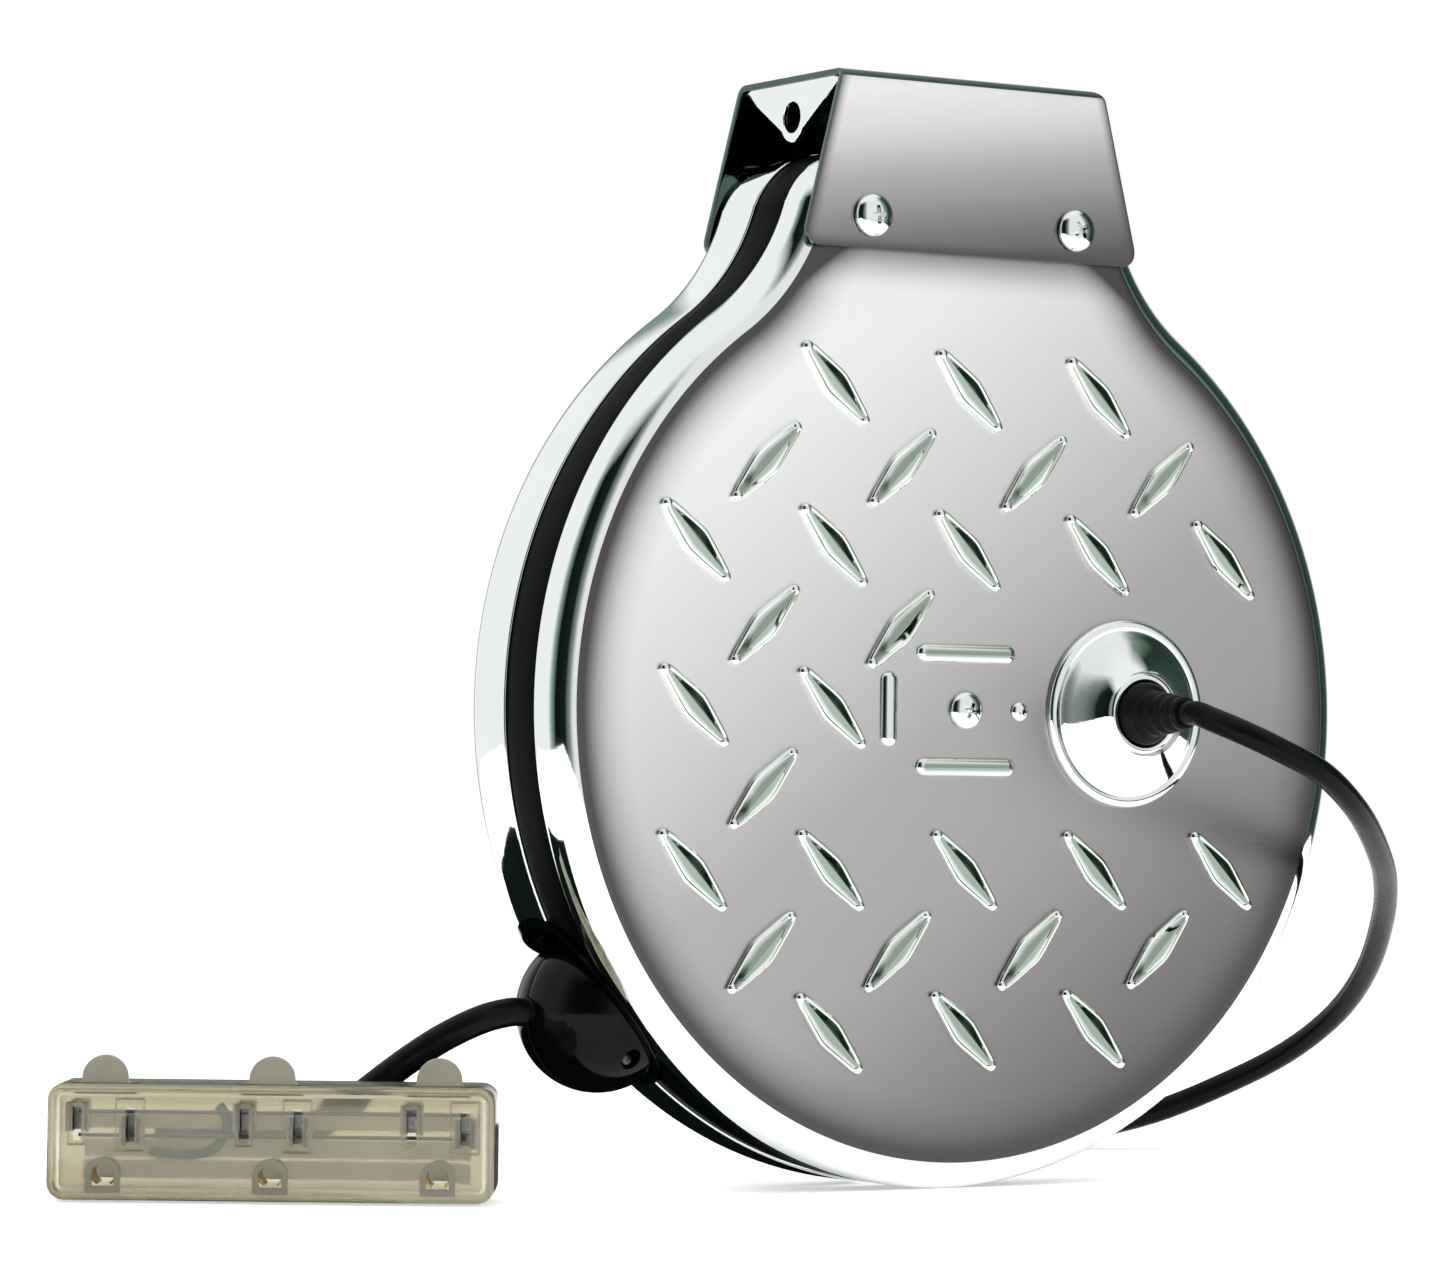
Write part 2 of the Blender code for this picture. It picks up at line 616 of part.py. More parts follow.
def build_latch(finishes, parent):
    low = CORE_HALF + 2 * GAP + FLANGE_T
    pivot = empty("pawl_axis", PAWL_PIVOT, parent=parent)
    nose = PAWL_PIVOT.z - RATCHET_R - 2 * GAP
    outline = arc((0, 0), PAWL_BOSS_R, math.radians(20), math.radians(200), 8)
    outline += [(PAWL_REACH * across, -nose * down) for across, down in PAWL_NOSE]
    pawl = piece("latch_pawl", prism(outline, low, low + PAWL_T), finishes["steel"], pivot)
    hole = turned(((PAWL_PIN_R + GAP, low - PAWL_T), (PAWL_PIN_R + GAP, low + 2 * PAWL_T)), steps=SMALL)
    boolean(pawl, tool("pawl_hole", hole, pivot), "DIFFERENCE")
    pin = turned(((PAWL_PIN_R, low), (PAWL_PIN_R, INNER_Y - GAP)), PAWL_PIVOT, SMALL)
    piece("pawl_pin", pin, finishes["zinc"], parent)
    coil_low, coil_high = low + PAWL_T + GAP, INNER_Y - 2 * GAP
    coil = tube(PAWL_PIN_R + GAP, PAWL_PIN_R + 4 * GAP, coil_low, coil_high, PAWL_PIVOT, SMALL)
    piece("pawl_spring", coil, finishes["steel"], parent)


def build_contacts(finishes, parent):
    flange = -CORE_HALF - GAP - FLANGE_T
    disc_low = flange - GAP - DISC_T
    bore = AXLE_R + 2 * GAP + BUSH_WALL
    piece("slip_ring_disc", tube(bore, DISC_R, disc_low, flange - GAP), finishes["phenolic"], parent["drum"])
    ring_low = disc_low - GAP - RING_T
    for name, radius in zip(RING_NAMES, RING_RADII):
        bm = tube(radius - RING_WIDTH / 2, radius + RING_WIDTH / 2, ring_low, disc_low - GAP)
        piece("slip_ring_" + name, bm, finishes["copper"], parent["drum"])
    back = GAP - INNER_Y
    reach = RING_RADII[-1] + 2 * BRUSH_R + RING_WIDTH
    bm = box((-reach, back, -HOLDER_HALF), (HOLDER_END, back + HOLDER_T, HOLDER_HALF))
    holder = piece("brush_holder", bm, finishes["phenolic"], parent["root"])
    holes = bmesh.new()
    spots = [(-radius, BRUSH_R) for radius in RING_RADII] + [(0, AXLE_R), (CONTACT_X, CONTACT_R)]
    for x, radius in spots:
        span = ((radius + GAP, back - HOLDER_T), (radius + GAP, back + 2 * HOLDER_T))
        turned(span, (x, 0, 0), SMALL, bm=holes)
    boolean(holder, tool("brush_holes", holes, parent["root"]), "DIFFERENCE")
    for name, radius in zip(RING_NAMES, RING_RADII):
        bm = turned(((BRUSH_R, back + GAP), (BRUSH_R, ring_low - GAP)), (-radius, 0, 0), SMALL)
        piece("brush_" + name, bm, finishes["carbon"], parent["root"])


def build_inlet(finishes, parent):
    seat = -FACE_Y - GAP
    rise = seat - ROSETTE_RISE
    bore = BUSH_R + GAP
    rim = ROSETTE_RIM
    profile = [(bore, seat), (ROSETTE_R, seat), (ROSETTE_R, seat - rim / 2),
               (ROSETTE_R - rim / 2, seat - rim), (ROSETTE_R - rim * 2, seat - rim), (COLLAR_R, rise),
               (COLLAR_R - rim / 4, rise - rim / 2), (bore, rise - rim / 2)]
    piece("inlet_rosette", turned(profile, (INLET_X, 0, 0), closed=True), finishes["chrome"], parent)
    inside = GAP - INNER_Y + NUT_T
    nose = INLET_ROUTE[0][1] * MM + GAP
    profile = [(BUSH_R, inside), (BUSH_R, nose + BUSH_NOSE), (BUSH_SHOULDER_R, nose + BUSH_NOSE - BUSH_TAPER),
               (BUSH_NOSE_R, nose)]
    piece("inlet_bush", turned(profile, (INLET_X, 0, 0)), finishes["rubber"], parent)
    flats = 6
    nut_bore = (BUSH_R + GAP) / math.cos(math.pi / flats)
    nut = tube(nut_bore, NUT_R, GAP - INNER_Y, inside, (INLET_X, 0, 0), flats)
    piece("inlet_nut", nut, finishes["zinc"], parent)
    cord("inlet_cord", smooth_path(INLET_ROUTE), INLET_D, finishes["rubber"], parent)


def build_coil(finishes, parent):
    # The coil and the plug lie where the inlet lead's route ends
    end = Vector(INLET_ROUTE[-1]) * MM
    low = end.z - INLET_D / 2
    high = low + INLET_D * (COIL_TURNS + 1)
    inner, outer = COIL_R - INLET_D / 2 - GAP, COIL_R + INLET_D / 2 + GAP
    reach = math.sqrt(outer ** 2 - (COIL_R - INLET_D / 2) ** 2) + GAP
    mid_x, mid_y = end.x - reach, end.y + COIL_R
    bm = bmesh.new()
    loops = []
    for radius, z in ((inner, low), (outer, low), (outer, high), (inner, high)):
        loops.append([(x, y, z) for x, y in arc((mid_x, mid_y), radius, 0, 2 * math.pi, ROUND)[:-1]])
    piece("inlet_coil", skin(bm, loops, True), finishes["rubber"], parent)
    start = Vector((end.x, mid_y + COIL_R, low + INLET_D * (COIL_TURNS + 0.5)))
    plug = Vector((mid_x + PLUG_AWAY, start.y, low - COIL_LIFT + PLUG_HEIGHT / 2 + GAP))
    span = plug.x - PLUG_BOOT - GAP - start.x
    path = []
    for i in range(TAIL_STEPS + 1):
        share = i / TAIL_STEPS
        fall = min(max((share - TAIL_FLAT) / (1 - 2 * TAIL_FLAT), 0), 1)
        ease = fall * fall * (3 - 2 * fall)
        path.append((start.x + span * share, start.y, start.z + (plug.z - start.z) * ease))
    cord("inlet_tail", path, INLET_D, finishes["rubber"], parent)
    tie = bmesh.new()
    rings = []
    for wall in (0, TIE_WALL):
        lo_x, hi_x = mid_x - outer - TIE_SLACK - wall, mid_x - inner + TIE_SLACK + wall
        rings.append(((lo_x, low - GAP - wall), (hi_x, low - GAP - wall), (hi_x, high + GAP + wall),
                      (lo_x, high + GAP + wall)))
    loops = []
    for ring, side in ((0, -1), (1, -1), (1, 1), (0, 1)):
        loops.append([(x, mid_y + side * TIE_WIDTH / 2, z) for x, z in rings[ring]])
    piece("coil_tie", skin(tie, loops, True), finishes["black"], parent)
    build_plug(plug, finishes, parent)


def build_plug(spot, finishes, parent):
    # The boot ends at the spot, and the body and its blades lie beyond it along X
    boot = [(INLET_D / 2 + GAP, -PLUG_BOOT), (PLUG_BOOT_R, -GAP)]
    piece("plug_boot", turned(boot, spot, SMALL, along="X"), finishes["rubber"], parent)
    bm = bmesh.new()
    loops = []
    for x, share in ((0, PLUG_NECK), (PLUG_SHOULDER, 1), (PLUG_LENGTH, 1)):
        half = PLUG_HEIGHT / 2 * share
        ring = rounded(PLUG_WIDTH / 2 * share, -half, half, PLUG_CORNER * share)
        loops.append([spot + Vector((x, a, b)) for a, b in ring])
    piece("plug_body", skin(bm, loops, False), finishes["rubber"], parent)
    face = spot + Vector((PLUG_LENGTH + GAP, 0, 0))
    for name, side in (("line", -1), ("neutral", 1)):
        low = face + Vector((0, (side * BLADE_SPACING - BLADE_T) / 2, BLADE_LOW))
        bm = box(low, low + Vector((BLADE_LENGTH, BLADE_T, BLADE_WIDTH)))
        piece("plug_blade_" + name, bm, finishes["brass"], parent)
    drop = Vector((0, 0, BLADE_LOW + BLADE_WIDTH / 2 - GROUND_DROP))
    pin = turned(((PIN_R, 0), (PIN_R, PIN_LENGTH)), face + drop, SMALL, along="X")
    piece("plug_ground_pin", pin, finishes["brass"], parent)


def ball_half(side, bm):
    # Half a ball, bored along X for the cord it clamps
    profile = []
    for i in range(BALL_QUARTER + 1):
        angle = math.radians(90 * i / BALL_QUARTER)
        radius = max(BALL_R * math.cos(angle), BALL_R * POINT)
        profile.append((radius, side * (GAP / 2 + (BALL_R - GAP / 2) * math.sin(angle))))
    return turned(profile, (BALL_X, BALL_Y, BALL_Z), BALL_ROUND, bm=bm)


def build_outlet(finishes, root, pulled):
    spot = (BALL_X, BALL_Y, BALL_Z)
    for name, side in (("front", -1), ("rear", 1)):
        half = piece("ball_stop_" + name, ball_half(side, bmesh.new()), finishes["gloss"], pulled)
        bore = bmesh.new()
        ring = LEAD_D / 2 + GAP
        turned(((ring, -2 * BALL_R), (ring, 2 * BALL_R)), spot, SMALL, along="X", bm=bore)
        boolean(half, tool("ball_bore_" + name, bore, pulled), "DIFFERENCE")
        wells = bmesh.new()
        for z in (-BALL_SCREW_Z, BALL_SCREW_Z):
            wide = BALL_SCREW_R + GAP
            well = ((wide, -2 * BALL_R), (wide, BALL_R / 2))
            turned(well, (*spot[:2], spot[2] + z), SMALL, bm=wells)
        boolean(half, tool("ball_wells_" + name, wells, pulled), "DIFFERENCE")
    depth = math.sqrt(BALL_R ** 2 - (BALL_SCREW_Z + BALL_SCREW_R) ** 2) - 2 * GAP
    for name, z in (("lower", -BALL_SCREW_Z), ("upper", BALL_SCREW_Z)):
        shank = ((BALL_SCREW_R, -depth), (BALL_SCREW_R, BALL_R / 2 - GAP))
        bm = turned(shank, (*spot[:2], spot[2] + z), SMALL)
        piece("ball_screw_" + name, bm, finishes["zinc"], pulled)
    profile = []
    for radius in (BALL_R + CUP_WALL, BALL_R + GAP):
        ring = []
        start = math.asin(CUP_EDGE / radius)
        stop = math.acos((LEAD_D / 2 + 3 * GAP) / radius)
        for i in range(BALL_QUARTER):
            angle = start + (stop - start) * i / (BALL_QUARTER - 1)
            ring.append((radius * math.cos(angle), radius * math.sin(angle)))
        profile += ring if radius > BALL_R + CUP_WALL / 2 else reversed(ring)
    piece("cord_guide", turned(profile, spot, BALL_ROUND, True, along="X"), finishes["gloss"], root)
    tail = ((LEAD_D / 2, -BALL_R - GAP), (LEAD_D / 2, TAIL_END_X - BALL_X))
    piece("lead_tail", turned(tail, spot, SMALL, along="X"), finishes["rubber"], pulled)
    cord("lead_cord", smooth_path(LEAD_ROUTE), LEAD_D, finishes["rubber"], pulled)


def block_place():
    # The block lies where the free lead's route ends in the mouth of its strain relief
    mouth_y = BLOCK_T / 2 + GAP + BOOT_R
    offset = Vector((BOOT_X + GAP, mouth_y, BOOT_Z))
    return Vector(LEAD_ROUTE[-1]) * MM - Matrix.Rotation(BLOCK_TURN, 3, "Z") @ offset


def build_block(finishes, parent):
    front, rear = -BLOCK_T / 2, BLOCK_T / 2
    half = BLOCK_LENGTH / 2
    base = BLOCK_FOOT
    wall = BLOCK_WALL
    outline = rounded(half, base, BLOCK_HEIGHT, BLOCK_CORNER)
    inner = rounded(half - wall, base + wall, BLOCK_HEIGHT - wall, BLOCK_CORNER - wall)
    cover = piece("block_front", prism(outline, front, BLOCK_SPLIT - GAP / 2), finishes["clear"], parent)
    tabs = bmesh.new()
    slots = bmesh.new()
    for i in (-1, 0, 1):
        x = i * OUTLET_PITCH
        wide = TAB_WIDTH / 2
        crown = BLOCK_HEIGHT + TAB_HEIGHT - wide
        shape = arc((x, crown), wide, math.radians(-10), math.radians(190), 8)
        shape += [(x - wide, BLOCK_HEIGHT - BLOCK_WALL / 2), (x + wide, BLOCK_HEIGHT - BLOCK_WALL / 2)]
        prism(shape, front + TAB_SETBACK, front + TAB_SETBACK + TAB_T, tabs)
        for side in (-1, 1):
            middle = x + side * BLADE_SPACING / 2
            low = (middle - SLOT_WIDTH / 2, 2 * front, SLOT_Z - SLOT_HEIGHT / 2)
            box(low, (low[0] + SLOT_WIDTH, front + 2 * BLOCK_WALL, SLOT_Z + SLOT_HEIGHT / 2), slots)
        hole = ((GROUND_R, 2 * front), (GROUND_R, front + 2 * BLOCK_WALL))
        turned(hole, (x, 0, SLOT_Z - GROUND_DROP), SMALL, bm=slots)
    boolean(cover, tool("block_tabs", tabs, parent), "UNION")
    cavity = prism(inner, front + BLOCK_WALL, rear)
    boolean(cover, tool("block_front_cavity", cavity, parent), "DIFFERENCE")
    boolean(cover, tool("block_slots", slots, parent), "DIFFERENCE")
    back = piece("block_rear", prism(outline, BLOCK_SPLIT + GAP / 2, rear), finishes["clear"], parent)
    cavity = prism(inner, front, rear - BLOCK_WALL)
    boolean(back, tool("block_rear_cavity", cavity, parent), "DIFFERENCE")
    seat = rear - BLOCK_WALL - GAP
    reach = half - 3 * BLOCK_WALL
    heights = {"line": SLOT_Z, "neutral": SLOT_Z - BAR_STRIP - 6 * GAP, "ground": SLOT_Z - GROUND_DROP}
    for name, z in heights.items():
        low = (-reach, seat - BAR_T, z - BAR_STRIP / 2 + GAP)
        bm = box(low, (reach, seat, z + BAR_STRIP / 2 - GAP))
        piece("block_bar_" + name, bm, finishes["brass"], parent)
    profile = [(BOOT_R, BOOT_X - BOOT_LENGTH), (BOOT_R, BOOT_X - BOOT_LENGTH / 2), (LEAD_D / 2 + GAP, BOOT_X)]
    axis = (0, rear + GAP + BOOT_R, BOOT_Z)
    piece("block_boot", turned(profile, axis, SMALL, along="X"), finishes["rubber"], parent)


def main():
    clear_scene()
    finishes = {
        "chrome": material("polished_chrome", (0.78, 0.79, 0.8), 0.12, 1.0),
        "satin": material("satin_chrome", (0.6, 0.6, 0.61), 0.35, 1.0),
        "black": material("black_moulding", (0.012, 0.012, 0.013), 0.45, 0.0),
        "gloss": material("gloss_black_moulding", (0.01, 0.01, 0.011), 0.15, 0.0),
        "rubber": material("black_cord_jacket", (0.02, 0.02, 0.021), 0.55, 0.0),
        "clear": material("smoky_polycarbonate", (0.55, 0.57, 0.57), 0.15, 0.0),
        "zinc": material("zinc_plated_steel", (0.6, 0.61, 0.62), 0.35, 1.0),
        "steel": material("spring_steel", (0.3, 0.31, 0.33), 0.35, 1.0),
        "brass": material("brass", (0.7, 0.52, 0.24), 0.3, 1.0),
        "copper": material("copper", (0.75, 0.4, 0.26), 0.3, 1.0),
        "carbon": material("carbon_brush", (0.05, 0.05, 0.05), 0.6, 0.0),
        "phenolic": material("phenolic_board", (0.16, 0.08, 0.04), 0.55, 0.0),
    }
    axis = empty("reel_axis", (0, 0, -BRACKET_TOP))
    drum = empty("drum_axis", (0, 0, 0), parent=axis)
    pulled = empty("cord_end", (0, 0, 0), parent=axis)
    block = empty("block_frame", block_place(), BLOCK_TURN, pulled)
    build_housing(finishes, axis)
    build_bracket(finishes, axis)
    build_fasteners(finishes, axis)
    build_axle(finishes, axis)
    build_drum(finishes, drum)
    build_latch(finishes, axis)
    build_contacts(finishes, {"root": axis, "drum": drum})
    build_inlet(finishes, axis)
    build_coil(finishes, axis)
    build_outlet(finishes, axis, pulled)
    build_block(finishes, block)


main()
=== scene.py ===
import json
import math

import bmesh
import bpy
from mathutils import Matrix, Vector


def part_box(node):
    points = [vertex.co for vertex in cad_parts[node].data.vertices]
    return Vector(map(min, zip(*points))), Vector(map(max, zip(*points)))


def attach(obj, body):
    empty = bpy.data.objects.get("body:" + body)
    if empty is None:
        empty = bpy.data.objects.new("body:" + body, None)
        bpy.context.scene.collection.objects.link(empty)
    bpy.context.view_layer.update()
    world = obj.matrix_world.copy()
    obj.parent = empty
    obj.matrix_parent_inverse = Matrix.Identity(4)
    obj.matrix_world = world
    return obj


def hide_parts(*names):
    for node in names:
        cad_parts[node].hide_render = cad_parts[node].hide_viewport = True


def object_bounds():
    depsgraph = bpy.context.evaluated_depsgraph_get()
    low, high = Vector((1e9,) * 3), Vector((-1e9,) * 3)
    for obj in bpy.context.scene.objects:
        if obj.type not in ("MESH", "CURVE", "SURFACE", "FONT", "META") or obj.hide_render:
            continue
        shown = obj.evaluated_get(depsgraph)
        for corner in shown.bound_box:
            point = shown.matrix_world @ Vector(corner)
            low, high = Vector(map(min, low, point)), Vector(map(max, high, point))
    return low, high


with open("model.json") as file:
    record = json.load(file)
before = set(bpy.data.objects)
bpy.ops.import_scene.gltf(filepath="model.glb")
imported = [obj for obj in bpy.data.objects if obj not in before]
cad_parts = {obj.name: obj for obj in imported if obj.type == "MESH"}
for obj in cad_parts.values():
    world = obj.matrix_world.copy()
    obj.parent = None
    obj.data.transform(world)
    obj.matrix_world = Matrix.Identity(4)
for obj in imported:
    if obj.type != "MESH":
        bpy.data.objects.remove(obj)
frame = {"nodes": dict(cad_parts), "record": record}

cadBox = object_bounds()
mm = 0.001
axleLow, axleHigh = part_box("axle")
axisZ = (axleLow.z + axleHigh.z) / 2    # drum axis: the places below are millimetres from it
nodes = frame["nodes"]
print("frame:", len(nodes), "nodes, drum axis at", round(axisZ / mm, 1), "mm")


def at(x, y, z):
    return Vector((x * mm, y * mm, z * mm + axisZ))


def linear(hexCode):
    shares = [int(hexCode[i:i + 2], 16) / 255 for i in (1, 3, 5)]
    return (*[s / 12.92 if s <= 0.04045 else ((s + 0.055) / 1.055) ** 2.4 for s in shares], 1.0)


# values go on the sockets, another node's output is linked instead
def addNode(tree, kind, inputs=None, stops=None, **settings):
    node = tree.nodes.new(kind)
    for name, value in settings.items():
        setattr(node, name, value)
    for name, value in (inputs or {}).items():
        if isinstance(value, bpy.types.NodeSocket):
            tree.links.new(value, node.inputs[name])
        else:
            node.inputs[name].default_value = value
    if stops:
        ramp = node.color_ramp.elements
        ramp.remove(ramp[-1])
        ramp[0].position, ramp[0].color = stops[0]
        for spot, colour in stops[1:]:
            ramp.new(spot).color = colour
    return node


def intoScene(name, data):
    obj = bpy.data.objects.new(name, data)
    bpy.context.scene.collection.objects.link(obj)
    return obj


# camera where the photo was taken from
view = {"place": (-782.6, -1154.0, -18.8), "yaw": 32.127, "pitch": 1.564, "roll": -0.657, "lens": 137.0,
        "sensor": 36.0, "far": 30.0}


def setCamera():
    yaw, pitch, roll = (math.radians(view[name]) for name in ("yaw", "pitch", "roll"))
    ahead = Vector((math.sin(yaw) * math.cos(pitch), math.cos(yaw) * math.cos(pitch), math.sin(pitch)))
    level = Vector((math.cos(yaw), -math.sin(yaw), 0))
    upright = level.cross(ahead)
    right = level * math.cos(roll) - upright * math.sin(roll)
    up = level * math.sin(roll) + upright * math.cos(roll)
    data = bpy.data.cameras.new("photoCamera")
    data.lens = view["lens"]
    data.sensor_width = view["sensor"]
    data.sensor_fit = "HORIZONTAL"
    data.clip_end = view["far"]
    camera = intoScene("photoCamera", data)
    turn = Matrix((right, up, -ahead)).transposed().to_4x4()
    camera.matrix_world = Matrix.Translation(at(*view["place"])) @ turn
    bpy.context.scene.camera = camera


setCamera()
print("camera set")


def startFinish(name):
    finish = bpy.data.materials.new(name)
    finish.use_nodes = True
    tree = finish.node_tree
    coords = addNode(tree, "ShaderNodeTexCoord").outputs["Object"]
    return finish, tree, tree.nodes["Principled BSDF"], coords


# two tones in soft patches, with grit that roughens and lifts the surface; sizes in millimetres
def mottledFinish(name, look):
    finish, tree, shader, coords = startFinish(name)
    patch = addNode(tree, "ShaderNodeTexNoise",
                    {"Vector": coords, "Scale": 1 / (look["patch"] * mm), "Detail": 3.0})
    grain = addNode(tree, "ShaderNodeMapping", {"Vector": coords, "Scale": look.get("draw", (1, 1, 1))})
    grit = addNode(tree, "ShaderNodeTexNoise",
                   {"Vector": grain.outputs["Vector"], "Scale": 1 / (look["grit"] * mm), "Detail": 4.0})
    tone = addNode(tree, "ShaderNodeMix", {0: patch.outputs["Fac"], 6: linear(look["tone"]),
                                           7: linear(look["other"])}, data_type="RGBA")
    rough = addNode(tree, "ShaderNodeMapRange",
                    {"Value": grit.outputs["Fac"], "From Min": 0.3, "From Max": 0.75,
                     "To Min": look["smooth"], "To Max": look["rough"]})
    bump = addNode(tree, "ShaderNodeBump", {"Height": grit.outputs["Fac"], "Strength": look["bump"],
                                            "Distance": look["grit"] * mm * 0.3})
    # painted reflection: a crest tone, where given, is mixed in where the painted-shade attribute is high
    if "paintedCrestShade" in look:
        rim = addNode(tree, "ShaderNodeAttribute", attribute_name="nearRim")
        tone = addNode(tree, "ShaderNodeMix", {0: rim.outputs["Fac"], 6: tone.outputs[2],
                                               7: linear(look["paintedCrestShade"])}, data_type="RGBA")
    tree.links.new(tone.outputs[2], shader.inputs["Base Color"])
    tree.links.new(rough.outputs["Result"], shader.inputs["Roughness"])
    tree.links.new(bump.outputs["Normal"], shader.inputs["Normal"])
    shader.inputs["Metallic"].default_value = look.get("metal", 0.0)
    for socket, value in look.get("shader", {}).items():
        shader.inputs[socket].default_value = value
    return finish


# extruded PVC cable jacket: near black, a soft sheen broken by fine drawn lines
pvcJacket = mottledFinish("pvcJacket", {
    "tone": "#070909", "other": "#0D0F0F", "patch": 9.0, "grit": 0.6, "smooth": 0.22, "rough": 0.38,
    "bump": 0.1, "shader": {"Specular IOR Level": 0.1}})


def cordCurve(name, path, diameter, finish):
    data = bpy.data.curves.new(name, "CURVE")
    data.dimensions = "3D"
    data.bevel_depth = diameter / 2 * mm
    data.bevel_resolution = 7
    data.use_fill_caps = True
    spline = data.splines.new("POLY")
    spline.points.add(len(path) - 1)
    for point, spot in zip(spline.points, path):
        point.co = (*at(*spot), 1)
    spline.use_smooth = True
    data.materials.append(finish)
    return intoScene(name, data)


# smooth curve through given points
def throughPoints(route, steps):
    spots = [Vector(p) for p in route]
    ends = [spots[0] * 2 - spots[1]] + spots + [spots[-1] * 2 - spots[-2]]
    path = []
    for a, b, c, d in zip(ends, ends[1:], ends[2:], ends[3:]):
        for i in range(steps):
            t = i / steps
            bend = (a * 2 - b * 5 + c * 4 - d) * t * t + (b * 3 - a - c * 3 + d) * t ** 3
            path.append((b * 2 + (c - a) * t + bend) / 2)
    return path + [spots[-1]]


inletLead = {
    "diameter": 6.2, "length": 0.715, "coilR": 34.0, "coilTurns": 1.5, "coilSteps": 40, "gap": 0.3,
    "plugAway": 70.4, "plugBoot": 24.0, "plugHeight": 22.0, "lift": 1.2, "tailSteps": 10, "tailFlat": 0.05,
    "route": ((49, -49, 0), (49, -53, 0), (50, -58, -1.5), (54.5, -66, -5), (62.5, -71.4, -9.5),
              (74, -72.9, -15),
              (91, -65, -24), (112, -47, -34), (130, -28, -42.5), (147, -6, -53), (162, 19, -67),
              (170, 42, -80), (169, 63, -92), (160, 81, -102), (144, 92, -110), (122, 97, -114.5),
              (104, 98, -115.2), (97, 98, -115.2))}


# centre of the coil behind the reel, and the spot where the plug's boot ends
def coilPlaces():
    lead = inletLead
    thick = lead["diameter"]
    end = Vector(lead["route"][-1])
    outer = lead["coilR"] + thick / 2 + lead["gap"]
    reach = math.sqrt(outer ** 2 - (lead["coilR"] - thick / 2) ** 2) + lead["gap"]
    middle = Vector((end.x - reach, end.y + lead["coilR"], end.z))
    floor = end.z - thick / 2 - lead["lift"]
    plug = Vector((middle.x + lead["plugAway"], middle.y + lead["coilR"],
                   floor + lead["plugHeight"] / 2 + lead["gap"]))
    return middle, plug


def inletPath():
    lead = inletLead
    middle, plug = coilPlaces()
    path = throughPoints(lead["route"], 5)
    count = round(lead["coilTurns"] * lead["coilSteps"])
    for i in range(count + 1):
        angle = -math.pi / 2 - 2 * math.pi * i / lead["coilSteps"]
        spot = Vector((math.cos(angle), math.sin(angle), 0)) * lead["coilR"]
        path.append(middle + spot + Vector((0, 0, lead["diameter"] * i / lead["coilSteps"])))
    start = Vector((lead["route"][-1][0], path[-1].y, path[-1].z))
    span = plug.x - lead["plugBoot"] - lead["gap"] - start.x
    for i in range(lead["tailSteps"] + 1):
        share = i / lead["tailSteps"]
        fall = min(max((share - lead["tailFlat"]) / (1 - 2 * lead["tailFlat"]), 0), 1)
        ease = fall * fall * (3 - 2 * fall)
        path.append(Vector((start.x + span * share, start.y, start.z + (plug.z - start.z) * ease)))
    return path


inletCord = cordCurve("inletLead", inletPath(), inletLead["diameter"], pvcJacket)
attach(inletCord, "housing")
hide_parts("inlet_cord", "inlet_coil", "inlet_tail")

outletLead = {
    "diameter": 7.0, "length": 0.078, "tailRows": 60, "tailRound": 0.4,
    "route": ((-109.7, 6.5, -75.1), (-114, 6.5, -75.1), (-121, 7.6, -76.8), (-129, 11.2, -81),
              (-136, 15.4, -86.3), (-143, 19.7, -92.5), (-150, 23.9, -99), (-157, 28.2, -104),
              (-164, 32.6, -106.4), (-169.1, 35.8, -106.5))}
outletCord = cordCurve("outletLead", throughPoints(outletLead["route"], 5),
                       outletLead["diameter"], pvcJacket)
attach(outletCord, "cord_end")
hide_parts("lead_cord")
print("cords laid")
